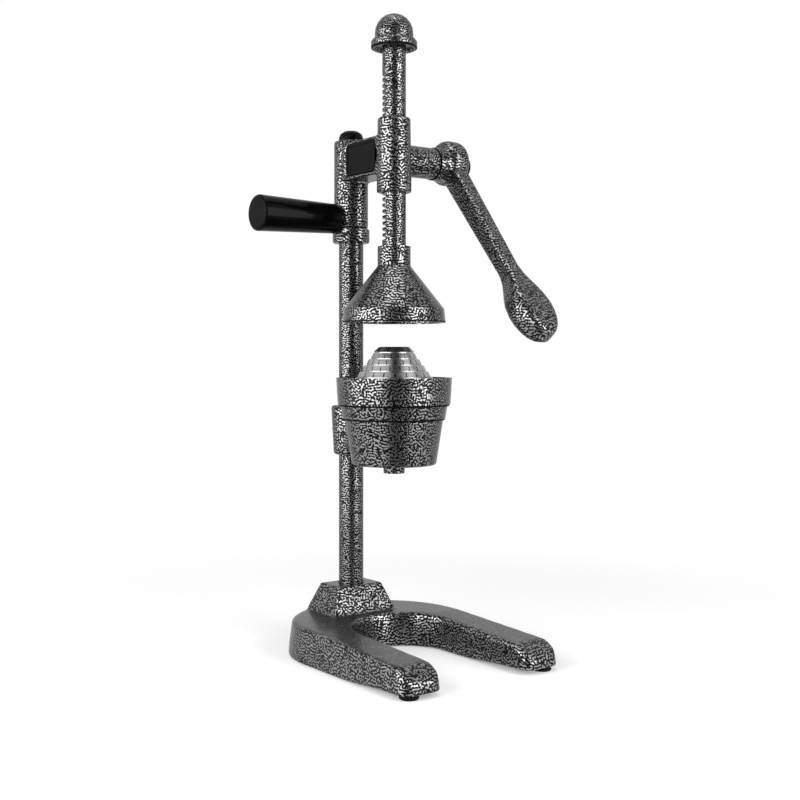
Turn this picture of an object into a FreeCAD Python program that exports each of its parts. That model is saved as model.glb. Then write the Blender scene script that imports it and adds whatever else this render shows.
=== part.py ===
import FreeCAD
import Part
import math
import os
import re

import Sketcher
from FreeCAD import Placement, Rotation, Vector

# Hand press juicer: a horseshoe base carries a round column. A head casting on the column guides a
# toothed rack rod, which a lever turns down by a pinion, so that the bell presses fruit on a strainer.
# Millimetres, +Z up. The legs point to -Y, the lever is on +X, the side handle on -X. The origin is on
# the floor in the middle of the footprint.

# Driving sizes: alias, value, what it is
SIZES = [
    # column and the two working axes
    ("column_y", 93.0, "column axis behind the middle of the footprint"),
    ("axis_spacing", 79.5, "column axis to rack axis"),
    ("column_diameter", 27.0, "outside of the column tube"),
    ("column_wall", 3.0, "wall of the column tube"),
    ("column_seat", 24.0, "height of the column's lower end"),
    ("seat_gap", 0.05, "radial gap of a fixed fit"),
    ("running_gap", 0.05, "radial gap of a running fit"),
    # base casting
    ("foot_height", 5.0, "rubber below the casting"),
    ("foot_radius", 9.5, "rubber foot"),
    ("front_foot_x", 84.0, "front feet from the middle plane"),
    ("front_foot_y", 122.0, "front feet ahead of the origin"),
    ("rear_foot_x", 62.0, "rear feet from the middle plane"),
    ("rear_foot_y", 92.0, "rear feet behind the origin"),
    ("base_half_width", 99.0, "outer half width at the floor side"),
    ("base_inner_half_width", 51.0, "inner half width at the floor side"),
    ("base_arc_y", 36.0, "centre of the rear outer arc"),
    ("base_inner_arc_y", -4.0, "centre of the rear inner arc"),
    ("base_tip_y", 135.0, "leg tips ahead of the origin"),
    ("base_top", 36.0, "top of the casting at the rear"),
    ("tip_top", 29.0, "top of the legs where the nose begins"),
    ("slope_start", 20.0, "where the legs begin to fall"),
    ("nose_length", 20.0, "sloping nose of each leg"),
    ("nose_drop", 15.0, "fall of the nose"),
    ("base_draft", 7.4, "draft angle of the side walls"),
    ("base_wall", 7.0, "wall round the hollow underside"),
    ("base_roof", 8.0, "plate over the hollow underside"),
    ("tip_corner", 13.0, "plan rounding of the leg tips"),
    ("base_edge_round", 3.0, "rounding of the upper edges"),
    ("pedestal_length", 80.0, "pedestal foot across"),
    ("pedestal_depth", 60.0, "pedestal foot front to back"),
    ("pedestal_top_length", 56.0, "pedestal head across"),
    ("pedestal_top_depth", 38.0, "pedestal head front to back"),
    ("pedestal_top", 65.0, "height of the pedestal head"),
    ("pedestal_edge_round", 2.0, "rounding of the pedestal edges"),
    ("boss_radius", 20.0, "boss under the pedestal"),
    ("boss_bottom", 16.0, "lower face of the boss"),
    # bolts
    ("column_bolt_radius", 5.0, "bolt that holds the column"),
    ("insert_height", 20.0, "threaded insert in the column"),
    ("washer_thickness", 2.0, "flat washers"),
    ("washer_radius", 11.0, "washer of the column bolt"),
    ("bolt_head_height", 6.4, "hexagon head of the column bolt"),
    ("bolt_head_radius", 9.3, "corner radius of that head"),
    ("foot_screw_radius", 2.0, "screws of the feet"),
    ("foot_screw_length", 14.0, "screws of the feet"),
    ("foot_boss_radius", 8.0, "bosses for the foot screws"),
    ("front_boss_height", 10.0, "bosses in the noses of the legs"),
    ("boss_overlap", 1.0, "how far joined forms reach into each other"),
    ("set_screw_radius", 4.0, "set screws and clamp screws"),
    ("screw_head_height", 5.3, "hexagon heads of the clamp screw and lever bolt"),
    # head casting
    ("sleeve_diameter", 37.5, "sleeve round the column"),
    ("sleeve_bottom", 455.5, "lower end of the sleeve"),
    ("sleeve_top", 551.5, "upper end of the sleeve"),
    ("box_bottom", 506.3, "lower face of the gear box"),
    ("box_top", 546.7, "upper face of the gear box"),
    ("box_half_width", 17.5, "gear box from the middle plane"),
    ("guide_bottom", 486.4, "lower end of the rack guide"),
    ("guide_top", 565.4, "upper end of the rack guide"),
    ("guide_low_diameter", 36.8, "rack guide at its lower end"),
    ("guide_high_diameter", 34.8, "rack guide at its upper end"),
    ("tube_radius", 17.2, "shaft tube on the lever side"),
    ("tube_end", 70.5, "shaft tube's end from the middle plane"),
    ("head_edge_round", 2.0, "rounding of the ends of guide and sleeve"),
    ("plate_length", 54.0, "side plate along the gear box"),
    ("plate_height", 34.4, "side plate"),
    ("plate_thickness", 3.0, "side plate"),
    ("plate_y", 41.5, "middle of the side plate ahead of the column"),
    ("plate_corner", 6.0, "corner radius of the side plate"),
    ("plate_gap", 0.2, "gap round the side plate"),
    ("collar_diameter", 40.7, "collar under the head"),
    ("collar_height", 16.0, "collar under the head"),
    ("collar_edge", 1.5, "chamfer of the collar"),
    ("plug_height", 12.0, "dome of the column plug"),
    ("plug_depth", 14.0, "stem of the column plug"),
    # side handle
    ("handle_z", 465.0, "height of the handle's axis"),
    ("handle_start", 21.2, "inner end of the grip from the middle plane"),
    ("handle_end", 120.0, "outer end of the grip from the middle plane"),
    ("handle_inner_diameter", 32.3, "grip at its inner end"),
    ("handle_outer_diameter", 38.7, "grip at its outer end"),
    ("handle_round", 3.0, "rounding of the grip's ends"),
    ("handle_boss_radius", 9.0, "boss for the stud"),
    ("stud_radius", 5.0, "threaded stud in the grip"),
    ("stud_length", 78.0, "threaded stud in the grip"),
    # rack and pinion
    ("module", 2.0, "size of the teeth"),
    ("pinion_teeth", 14, "teeth round the pinion"),
    ("pinion_z", 527.0, "height of the pinion's axis"),
    ("pressure_angle", 20.0, "flank angle of the teeth"),
    ("backlash", 0.15, "play of each tooth gap"),
    ("rack_diameter", 25.0, "rack rod"),
    ("rack_root", 8.3, "bottom of the tooth gaps from the rod's axis"),
    ("rack_gaps", 28, "tooth gaps along the rod"),
    ("rack_gaps_above", 13, "of these above the pinion at rest"),
    ("rack_turn", 62.0, "second cut of the gaps round the rod"),
    ("rack_bottom", 408.0, "lower end of the rod"),
    ("rack_top", 655.0, "upper end of the rod"),
    ("pinion_start", -14.0, "toothed part of the shaft begins"),
    ("pinion_end", 12.0, "toothed part of the shaft ends"),
    ("gear_room", 0.5, "radial room round the pinion"),
    ("shaft_radius", 8.0, "pinion shaft"),
    ("bush_radius", 10.5, "outside of the shaft bushes"),
    ("bush_length", 15.0, "shaft bushes"),
    ("bush_inset", 1.5, "outer bush inside the tube's end"),
    ("inner_bush_start", 17.0, "inner bush from the middle plane"),
    ("shaft_end", 96.0, "end of the shaft from the middle plane"),
    # top knob
    ("knob_socket", 17.0, "knob over the end of the rod"),
    ("knob_flange_diameter", 48.8, "flange of the knob"),
    ("knob_flange_height", 9.5, "flange of the knob"),
    ("knob_dome_radius", 20.3, "dome of the knob"),
    ("knob_height", 37.0, "knob from its underside to its top"),
    ("knob_hollow", 3.0, "recess under the flange"),
    # press bell
    ("bell_bottom", 349.7, "rim of the bell at rest"),
    ("bell_radius", 54.3, "rim of the bell"),
    ("bell_band", 14.7, "upright band of the rim"),
    ("bell_shoulder_radius", 52.8, "top of the band"),
    ("bell_neck_radius", 17.4, "neck of the bell"),
    ("bell_neck_bottom", 409.5, "where the cone meets the neck"),
    ("bell_top", 430.1, "top of the neck"),
    ("bell_wall", 5.0, "wall of the bell across"),
    ("bell_roof", 404.5, "inner roof of the bell"),
    ("bell_roof_radius", 17.0, "inner roof of the bell"),
    ("bell_round", 4.0, "rounding of shoulder and neck"),
    ("liner_wall", 1.5, "pressed steel liner"),
    ("liner_gap", 0.3, "liner inside the bell"),
    ("liner_screw_radius", 4.0, "screw of the liner"),
    # cup, strainer and holder
    ("cup_top", 292.3, "rim of the cup"),
    ("cup_seat", 264.5, "rim band's lower face on the holder ring"),
    ("cup_rim_radius", 61.0, "rim band at its top"),
    ("cup_band_radius", 59.3, "rim band at its bottom"),
    ("cup_bore", 55.5, "inside of the rim band"),
    ("cup_step", 269.0, "ledge for the strainer"),
    ("cup_body_radius", 51.8, "body of the cup inside the ring"),
    ("cup_low_radius", 44.3, "body of the cup at its bottom"),
    ("cup_bottom", 201.0, "underside of the cup"),
    ("cup_wall", 4.0, "wall of the cup"),
    ("cup_floor", 5.0, "floor of the cup"),
    ("cup_round", 3.0, "rounding of the cup's lower edge"),
    ("spout_radius", 11.5, "spout under the cup"),
    ("spout_bore", 8.0, "hole through the spout"),
    ("spout_bottom", 191.9, "end of the spout"),
    ("ring_radius", 56.5, "holder ring at its top"),
    ("ring_low_radius", 53.9, "holder ring at its bottom"),
    ("ring_height", 15.3, "holder ring"),
    ("ring_gap", 0.4, "radial gap round the cup"),
    ("clamp_drop", 3.8, "top of the holder's clamp under the ring's"),
    ("clamp_height", 54.2, "holder's clamp"),
    ("clamp_top_radius", 22.0, "clamp at its top"),
    ("clamp_low_radius", 19.2, "clamp at its bottom"),
    ("clamp_round", 3.0, "rounding of the clamp's ends"),
    ("arm_width", 34.0, "web between ring and clamp"),
    ("arm_rise", 9.5, "lower edge of that web above the clamp's"),
    ("strainer_top", 324.6, "flat top of the strainer"),
    ("strainer_top_radius", 16.8, "flat top of the strainer"),
    ("strainer_crown", 6.5, "plain crown over the courses"),
    ("strainer_course", 6.45, "height of one stepped course"),
    ("strainer_courses", 4, "courses above the skirt"),
    ("strainer_slope", 0.7337, "growth of the radius with each unit of height"),
    ("strainer_step", 0.7, "ledge under each course"),
    ("strainer_slots", 16, "upright slots round each course"),
    ("slot_width", 1.6, "slots of the strainer"),
    ("slot_height", 3.6, "slots of the strainer"),
    ("skirt_slot_height", 10.0, "slots of the skirt"),
    ("strainer_low_radius", 46.0, "foot of the strainer's skirt"),
    ("strainer_wall", 1.5, "pressed steel of the strainer"),
    ("strainer_flange", 54.8, "flange on the cup's ledge"),
    # lever
    ("lever_angle", 39.6, "arm from straight down, towards the front"),
    ("hub_start", 71.0, "inner face of the lever's hub"),
    ("collar_length", 11.0, "round collar of the hub beside the shaft tube"),
    ("collar_start_radius", 17.6, "that collar beside the tube"),
    ("collar_end_radius", 20.5, "that collar beside the knuckle"),
    ("hub_end", 111.5, "outer face of the knuckle"),
    ("hub_radius", 25.0, "knuckle of the lever"),
    ("hub_rise", 3.5, "knuckle's centre beyond the shaft's axis"),
    ("hub_round", 11.0, "rounding of the knuckle"),
    ("arm_x", 95.6, "middle of the arm from the middle plane"),
    ("arm_half_width", 10.4, "arm beside the knuckle, along the shaft"),
    ("arm_half_depth", 12.2, "arm beside the knuckle, front to back"),
    ("arm_corner", 4.0, "edges of the arm"),
    ("arm_neck", 158.0, "neck of the arm from the hub's axis"),
    ("neck_half_width", 8.8, "arm at its neck, along the shaft"),
    ("neck_half_depth", 9.6, "arm at its neck, front to back"),
    ("paddle_centre", 213.0, "middle of the paddle from the hub's axis"),
    ("paddle_half_length", 38.5, "paddle along the arm"),
    ("paddle_half_width", 23.6, "paddle across"),
    ("paddle_half_depth", 11.2, "thickness of the paddle"),
    ("paddle_shift", 0.8, "paddle's middle outside the arm's"),
    ("lever_bolt_radius", 4.0, "bolt that holds the lever"),
    ("lever_pocket_radius", 12.0, "pocket for that bolt"),
    ("cap_radius", 13.0, "cap over the bolt"),
    ("cap_end", 120.0, "top of the cap from the middle plane"),
]

doc = FreeCAD.newDocument("hand_press_juicer")
sheet = doc.addObject("Spreadsheet::Sheet", "Sizes")
for row, (alias, size, note) in enumerate(SIZES, start=1):
    sheet.set(f"A{row}", alias)
    sheet.set(f"B{row}", str(size))
    sheet.set(f"C{row}", note)
    sheet.setAlias(f"B{row}", alias)
doc.recompute()

ALIASES = re.compile(r"\b(" + "|".join(alias for alias, _, _ in SIZES) + r")\b")

# Sizes that follow from the driving ones
RACK_Y = "(column_y - axis_spacing)"
PITCH = "(pi * module)"
PITCH_RADIUS = "(module * pinion_teeth / 2)"
TIP_RADIUS = f"({PITCH_RADIUS} + module)"
ROOT_RADIUS = f"({PITCH_RADIUS} - 1.25 * module)"
RACK_RADIUS = "(rack_diameter / 2)"
RACK_PITCH_PLANE = "(rack_root + 1.25 * module)"
PINION_Y = f"({RACK_Y} + {RACK_PITCH_PLANE} + {PITCH_RADIUS})"
COLUMN_RADIUS = "(column_diameter / 2)"
KNOB_BOTTOM = "(rack_top - knob_socket)"
CLAMP_TOP = "(cup_seat - clamp_drop)"
CLAMP_BOTTOM = f"({CLAMP_TOP} - clamp_height)"

parts = []


def bound(text):
    """The expression with the sheet's name before each alias."""
    return ALIASES.sub(r"Sizes.\1", text)


def number(text):
    """The present value of an expression."""
    return float(sheet.evalExpression(bound(text)))


def tie(thing, name, text):
    """Bind one property of an object to an expression."""
    thing.setExpression(name, bound(text))


def new_body(label):
    """A body that becomes one part."""
    body = doc.addObject("PartDesign::Body", label)
    body.Label = label
    parts.append(body)
    return body


def origin_plane(body, role):
    """One of the body's own origin planes."""
    return [plane for plane in body.Origin.OriginFeatures if plane.Role == role][0]


def new_sketch(body, name, role, lift="0", turn=0):
    """A sketch on an origin plane, lifted along its normal and turned about its own Y axis."""
    sketch = body.newObject("Sketcher::SketchObject", name)
    sketch.AttachmentSupport = (origin_plane(body, role), "")
    sketch.MapMode = "FlatFace"
    sketch.AttachmentOffset = Placement(Vector(), Rotation(Vector(0, 1, 0), turn))
    tie(sketch, "AttachmentOffset.Base.z", lift)
    return sketch


def constrain(sketch, kind, place, text):
    """A bound distance or radius in a sketch."""
    index = sketch.addConstraint(Sketcher.Constraint(kind, *place, number(text)))
    tie(sketch, f"Constraints[{index}]", text)


def outline(sketch, corners):
    """A closed outline of straight lines through corners given as expressions."""
    spots = [Vector(number(x), number(y), 0) for x, y in corners]
    count = len(spots)
    for index in range(count):
        sketch.addGeometry(Part.LineSegment(spots[index], spots[(index + 1) % count]), False)
    for index in range(count):
        sketch.addConstraint(Sketcher.Constraint("Coincident", index, 2, (index + 1) % count, 1))
    for index, (x, y) in enumerate(corners):
        constrain(sketch, "DistanceX", (-1, 1, index, 1), x)
        constrain(sketch, "DistanceY", (-1, 1, index, 1), y)


def turned(body, name, corners, cut=False):
    """A revolution, or a groove, of radius and height corners about the body's Z axis."""
    sketch = new_sketch(body, f"{name}_profile", "XZ_Plane")
    outline(sketch, corners)
    doc.recompute()
    feature = body.newObject("PartDesign::Groove" if cut else "PartDesign::Revolution", name)
    feature.Profile = sketch
    feature.ReferenceAxis = (sketch, ["V_Axis"])
    feature.Angle = 360
    doc.recompute()
    return feature


def padded(body, sketch, name, length, midplane=False, taper="0"):
    """A pad of a sketch."""
    pad = body.newObject("PartDesign::Pad", name)
    pad.Profile = sketch
    pad.Midplane = midplane
    tie(pad, "Length", length)
    tie(pad, "TaperAngle", taper)
    doc.recompute()
    return pad


def pocketed(body, sketch, name, length=None, midplane=False, reverse=False):
    """A pocket of a sketch, through everything when no length is given."""
    pocket = body.newObject("PartDesign::Pocket", name)
    pocket.Profile = sketch
    pocket.Midplane = midplane
    pocket.Reversed = reverse
    if length is None:
        pocket.Type = "ThroughAll"
    else:
        tie(pocket, "Length", length)
    doc.recompute()
    return pocket


def primitive(body, kind, name, sizes, spot=("0", "0", "0"), rotation=None):
    """An additive or subtractive primitive at a place given by expressions."""
    feature = body.newObject(f"PartDesign::{kind}", name)
    if rotation:
        feature.Placement = Placement(Vector(), rotation)
    for size, text in sizes.items():
        tie(feature, size, text)
    for axis, text in zip("xyz", spot):
        tie(feature, f"Placement.Base.{axis}", text)
    doc.recompute()
    return feature


def edge_names(feature, wanted):
    """Names of the edges of a feature for which wanted(edge) holds."""
    edges = feature.Shape.Edges
    return [f"Edge{index}" for index, edge in enumerate(edges, start=1) if wanted(edge)]


def rounded(body, name, radius, wanted, kind="Fillet"):
    """A fillet or chamfer of the edges that wanted picks from the body's tip."""
    base = body.Tip
    names = edge_names(base, wanted)
    if not names:
        raise ValueError(f"no edge for {name}")
    feature = body.newObject(f"PartDesign::{kind}", name)
    feature.Base = (base, names)
    tie(feature, "Radius" if kind == "Fillet" else "Size", radius)
    doc.recompute()
    return feature


def ring_at(height, radius=None, slack=0.01):
    """A test for a level circular edge at a height, and of a radius if one is given."""

    def wanted(edge):
        box = edge.BoundBox
        level = box.ZLength < slack and abs(box.ZMin - number(height)) < slack
        if not level or not isinstance(edge.Curve, Part.Circle):
            return False
        return radius is None or abs(edge.Curve.Radius - number(radius)) < slack

    return wanted


def either(*tests):
    """A test that holds where one of several holds."""
    return lambda edge: any(test(edge) for test in tests)


def place(thing, x="0", y="0", z="0", rotation=None):
    """Put a part in the frame, with its place bound to expressions."""
    if rotation:
        thing.Placement = Placement(Vector(), rotation)
    for axis, text in zip("xyz", (x, y, z)):
        tie(thing, f"Placement.Base.{axis}", text)


TO_LEVER_SIDE = Rotation(Vector(0, 1, 0), 90)
TO_HANDLE_SIDE = Rotation(Vector(0, 1, 0), -90)
TO_REAR = Rotation(Vector(1, 0, 0), -90)


# Base casting
def horseshoe(sketch, outer, inner, tip, corner):
    """The U outline: straight legs with rounded tips, and an outer and an inner rear arc."""
    wide, narrow, front = number(outer), number(inner), -number(tip)
    rear, inner_rear, small = number("base_arc_y"), number("base_inner_arc_y"), number(corner)
    up = Vector(0, 0, 1)

    def line(x1, y1, x2, y2):
        return sketch.addGeometry(Part.LineSegment(Vector(x1, y1, 0), Vector(x2, y2, 0)), False)

    def arc(x, y, radius, start, end):
        circle = Part.Circle(Vector(x, y, 0), up, radius)
        return sketch.addGeometry(Part.ArcOfCircle(circle, math.radians(start), math.radians(end)), False)

    curves = []
    back = arc(0, rear, wide, 0, 180)
    inner_back = arc(0, inner_rear, narrow, 0, 180)
    for side, outside, inside in ((1, 1, 2), (-1, 2, 1)):
        outer_line = line(side * wide, rear, side * wide, front + small)
        inner_line = line(side * narrow, inner_rear, side * narrow, front + small)
        tip_line = line(side * (wide - small), front, side * (narrow + small), front)
        first, last = (270, 360) if side > 0 else (180, 270)
        outer_arc = arc(side * (wide - small), front + small, small, first, last)
        first, last = (180, 270) if side > 0 else (270, 360)
        inner_arc = arc(side * (narrow + small), front + small, small, first, last)
        curves.append((outer_line, tip_line, outer_arc, inner_arc))
        for join in (
            (outer_line, 1, back, outside),
            (inner_line, 1, inner_back, outside),
            (outer_line, 2, outer_arc, inside),
            (tip_line, 1, outer_arc, outside),
            (inner_line, 2, inner_arc, outside),
            (tip_line, 2, inner_arc, inside),
        ):
            sketch.addConstraint(Sketcher.Constraint("Tangent", *join))
        sketch.addConstraint(Sketcher.Constraint("Vertical", outer_line))
        sketch.addConstraint(Sketcher.Constraint("Vertical", inner_line))
        constrain(sketch, "Radius", (outer_arc,), corner)
        constrain(sketch, "Radius", (inner_arc,), corner)
        constrain(sketch, "DistanceY", (-1, 1, tip_line, 1), f"-({tip})")
    for curve, radius, centre in ((back, outer, "base_arc_y"), (inner_back, inner, "base_inner_arc_y")):
        sketch.addConstraint(Sketcher.Constraint("PointOnObject", curve, 3, -2))
        constrain(sketch, "Radius", (curve,), radius)
        constrain(sketch, "DistanceY", (-1, 1, curve, 3), centre)
    doc.recompute()


FEET = [
    ("front_left", "-front_foot_x", "-front_foot_y"),
    ("front_right", "front_foot_x", "-front_foot_y"),
    ("rear_left", "-rear_foot_x", "rear_foot_y"),
    ("rear_right", "rear_foot_x", "rear_foot_y"),
]


def make_base():
    """The cast horseshoe with its pedestal, hollow underside, bosses and column socket."""
    body = new_body("base_casting")
    plan = new_sketch(body, "horseshoe_plan", "XY_Plane", "foot_height")
    horseshoe(plan, "base_half_width", "base_inner_half_width", "base_tip_y", "tip_corner")
    padded(body, plan, "horseshoe", "base_top - foot_height", taper="-base_draft")
    side = new_sketch(body, "leg_side", "YZ_Plane")
    beyond = "(base_tip_y + tip_corner)"
    outline(side, [
        (f"-{beyond}", "tip_top - 1.6 * nose_drop"),
        ("-base_tip_y", "tip_top - nose_drop"),
        ("-base_tip_y + nose_length / 3", "tip_top - nose_drop / 2"),
        ("-base_tip_y + nose_length", "tip_top"),
        ("slope_start", "base_top"),
        ("slope_start", "base_top + 20"),
        (f"-{beyond}", "base_top + 20"),
    ])
    doc.recompute()
    pocketed(body, side, "leg_slope", midplane=True)

    def upper_edge(edge):
        """An edge of the upper faces along the outline, behind the noses."""
        box = edge.BoundBox
        across = box.YLength < 0.01 and box.ZLength < 0.01
        high = box.ZMin > number("tip_top - nose_drop")
        return high and not across and box.YMin > number("nose_length - base_tip_y") - 0.1

    rounded(body, "upper_rounding", "base_edge_round", upper_edge)

    hollow = new_sketch(body, "hollow_plan", "XY_Plane", "foot_height")
    horseshoe(hollow, "base_half_width - base_wall", "base_inner_half_width + base_wall",
              "base_tip_y - 2 * base_wall", "tip_corner / 2")
    pocketed(body, hollow, "hollow", "tip_top - base_roof - foot_height", reverse=True)
    primitive(body, "AdditiveWedge", "pedestal", {
        "Xmin": "-pedestal_length / 2", "Xmax": "pedestal_length / 2",
        "Zmin": "-pedestal_depth / 2", "Zmax": "pedestal_depth / 2",
        "Ymin": "0", "Ymax": "pedestal_top - base_top + 1",
        "X2min": "-pedestal_top_length / 2", "X2max": "pedestal_top_length / 2",
        "Z2min": "-pedestal_top_depth / 2", "Z2max": "pedestal_top_depth / 2",
    }, ("0", "column_y", "base_top - 1"), Rotation(Vector(1, 0, 0), 90))

    def pedestal_edge(edge):
        """An edge of the pedestal's head or one of its four slanting corners."""
        box = edge.BoundBox
        return box.ZMax > number("pedestal_top") - 0.01 and box.ZMin > number("base_top") - 0.1

    rounded(body, "pedestal_rounding", "pedestal_edge_round", pedestal_edge)
    primitive(body, "AdditiveCylinder", "column_boss",
              {"Radius": "boss_radius", "Height": "base_top - boss_bottom - 2"},
              ("0", "column_y", "boss_bottom"))
    to_roof = "tip_top - base_roof - foot_height + boss_overlap"
    for name, x, y in FEET:
        height = "front_boss_height" if name.startswith("front") else to_roof
        primitive(body, "AdditiveCylinder", f"boss_{name}",
                  {"Radius": "foot_boss_radius", "Height": height}, (x, y, "foot_height"))
    primitive(body, "SubtractiveCylinder", "column_socket",
              {"Radius": f"{COLUMN_RADIUS} + seat_gap", "Height": "pedestal_top - column_seat + 1"},
              ("0", "column_y", "column_seat"))
    primitive(body, "SubtractiveCylinder", "bolt_hole",
              {"Radius": "column_bolt_radius + 0.5", "Height": "column_seat"},
              ("0", "column_y", "1"))
    for name, x, y in FEET:
        primitive(body, "SubtractiveCylinder", f"hole_{name}",
                  {"Radius": "foot_screw_radius + seat_gap", "Height": "foot_screw_length"},
                  (x, y, "0"))
    return body


def make_feet():
    """Four rubber feet, and the screws that hold them."""
    screws = []
    for name, x, y in FEET:
        body = new_body(f"foot_{name}")
        turned(body, "pad", [
            ("0", "0"),
            ("foot_radius - 1", "0"),
            ("foot_radius", "1"),
            ("foot_radius - 0.5", "foot_height"),
            ("0", "foot_height"),
        ])
        turned(body, "screw_hole", [
            ("0", "-1"),
            ("2 * foot_screw_radius + 0.4", "-1"),
            ("2 * foot_screw_radius + 0.4", "foot_height - 2.4"),
            ("foot_screw_radius + 0.1", "foot_height - 2.4"),
            ("foot_screw_radius + 0.1", "foot_height + 1"),
            ("0", "foot_height + 1"),
        ], cut=True)
        place(body, x, y)
        head = doc.addObject("Part::Cylinder", f"screw_head_{name}")
        tie(head, "Radius", "2 * foot_screw_radius")
        tie(head, "Height", "1.6")
        shank = doc.addObject("Part::Cylinder", f"screw_shank_{name}")
        tie(shank, "Radius", "foot_screw_radius")
        tie(shank, "Height", "foot_screw_length - foot_height + 1.6")
        for piece in (head, shank):
            place(piece, x, y, "foot_height - 4")
        screw = doc.addObject("Part::Fuse", f"screw_{name}")
        screw.Base = head
        screw.Tool = shank
        screws.append(screw)
    group = doc.addObject("Part::Compound", "foot_screws")
    group.Label = "foot_screws"
    group.Links = screws
    doc.recompute()
    parts.append(group)


def make_column():
    """The column tube with its threaded insert, bolt, washer and top plug."""
    tube = new_body("column_tube")
    inside = f"{COLUMN_RADIUS} - column_wall"
    turned(tube, "tube", [
        (inside, "column_seat"),
        (COLUMN_RADIUS, "column_seat"),
        (COLUMN_RADIUS, "sleeve_top"),
        (inside, "sleeve_top"),
    ])
    insert = new_body("column_insert")
    turned(insert, "insert", [
        ("column_bolt_radius + seat_gap", "column_seat"),
        (f"{inside} - seat_gap", "column_seat"),
        (f"{inside} - seat_gap", "column_seat + insert_height"),
        ("column_bolt_radius + seat_gap", "column_seat + insert_height"),
    ])
    washer = new_body("column_washer")
    turned(washer, "washer", [
        ("column_bolt_radius + 0.3", "boss_bottom - washer_thickness"),
        ("washer_radius", "boss_bottom - washer_thickness"),
        ("washer_radius", "boss_bottom"),
        ("column_bolt_radius + 0.3", "boss_bottom"),
    ])
    bolt = new_body("column_bolt")
    head_low = "boss_bottom - washer_thickness - bolt_head_height"
    primitive(bolt, "AdditivePrism", "head",
              {"Circumradius": "bolt_head_radius", "Height": "bolt_head_height"},
              ("0", "0", head_low))
    primitive(bolt, "AdditiveCylinder", "shank",
              {"Radius": "column_bolt_radius",
               "Height": "column_seat + insert_height - 2 - boss_bottom + washer_thickness + 1"},
              ("0", "0", "boss_bottom - washer_thickness - 1"))
    plug = new_body("column_plug")
    turned(plug, "plug", [
        ("0", "sleeve_top - plug_depth"),
        (f"{inside} - seat_gap", "sleeve_top - plug_depth"),
        (f"{inside} - seat_gap", "sleeve_top"),
        (COLUMN_RADIUS, "sleeve_top"),
        (COLUMN_RADIUS, "sleeve_top + plug_height / 3"),
        (f"{COLUMN_RADIUS} * 0.87", "sleeve_top + plug_height * 0.7"),
        (f"{COLUMN_RADIUS} * 0.55", "sleeve_top + plug_height * 0.93"),
        ("0", "sleeve_top + plug_height"),
    ])
    for body in (tube, insert, washer, bolt, plug):
        place(body, y="column_y")


# Head casting
def make_head():
    """Sleeve, gear box, rack guide and shaft tube in one casting, about the column's axis."""
    body = new_body("head_casting")
    rack = "-axis_spacing"
    pinion = f"({PINION_Y} - column_y)"
    primitive(body, "AdditiveCylinder", "sleeve",
              {"Radius": "sleeve_diameter / 2", "Height": "sleeve_top - sleeve_bottom"},
              ("0", "0", "sleeve_bottom"))
    primitive(body, "AdditiveBox", "gear_box",
              {"Length": "2 * box_half_width", "Width": "axis_spacing", "Height": "box_top - box_bottom"},
              ("-box_half_width", rack, "box_bottom"))
    primitive(body, "AdditiveCone", "rack_guide",
              {"Radius1": "guide_low_diameter / 2", "Radius2": "guide_high_diameter / 2",
               "Height": "guide_top - guide_bottom"},
              ("0", rack, "guide_bottom"))
    primitive(body, "AdditiveCylinder", "shaft_tube",
              {"Radius": "tube_radius", "Height": "tube_end"},
              ("0", pinion, "pinion_z"), TO_LEVER_SIDE)
    rounded(body, "end_rounding", "head_edge_round", either(
        ring_at("guide_top"), ring_at("guide_bottom"), ring_at("sleeve_top"), ring_at("sleeve_bottom")))
    primitive(body, "AdditiveCylinder", "handle_boss",
              {"Radius": "handle_boss_radius", "Height": "handle_start - 0.3"},
              ("0", "0", "handle_z"), TO_HANDLE_SIDE)
    primitive(body, "SubtractiveBox", "plate_recess",
              {"Length": "plate_thickness + 1", "Width": "plate_length", "Height": "plate_height"},
              ("-box_half_width - 1", "-plate_y - plate_length / 2", "pinion_z - plate_height / 2"))

    def recess_corner(edge):
        box = edge.BoundBox
        across = box.YLength < 0.01 and box.ZLength < 0.01
        return across and abs(box.XLength - number("plate_thickness")) < 0.01

    rounded(body, "recess_corners", "plate_corner", recess_corner)
    primitive(body, "SubtractiveCylinder", "column_bore",
              {"Radius": f"{COLUMN_RADIUS} + seat_gap", "Height": "sleeve_top"})
    primitive(body, "SubtractiveCylinder", "rack_bore",
              {"Radius": f"{RACK_RADIUS} + running_gap", "Height": "guide_top"}, ("0", rack, "10"))
    primitive(body, "SubtractiveCylinder", "gear_cavity",
              {"Radius": f"{TIP_RADIUS} + gear_room", "Height": "box_half_width + pinion_end + 2"},
              ("-box_half_width - 1", pinion, "pinion_z"), TO_LEVER_SIDE)
    primitive(body, "SubtractiveCylinder", "shaft_bore",
              {"Radius": "bush_radius + seat_gap", "Height": "tube_end + 1"},
              ("0", pinion, "pinion_z"), TO_LEVER_SIDE)
    primitive(body, "SubtractiveCylinder", "stud_hole",
              {"Radius": "stud_radius + seat_gap", "Height": "handle_start + 1"},
              ("0", "0", "handle_z"), TO_HANDLE_SIDE)
    primitive(body, "SubtractiveCylinder", "set_screw_hole",
              {"Radius": "set_screw_radius + seat_gap", "Height": "sleeve_diameter"},
              ("0", "0", "pinion_z"), TO_REAR)
    place(body, y="column_y")


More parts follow.
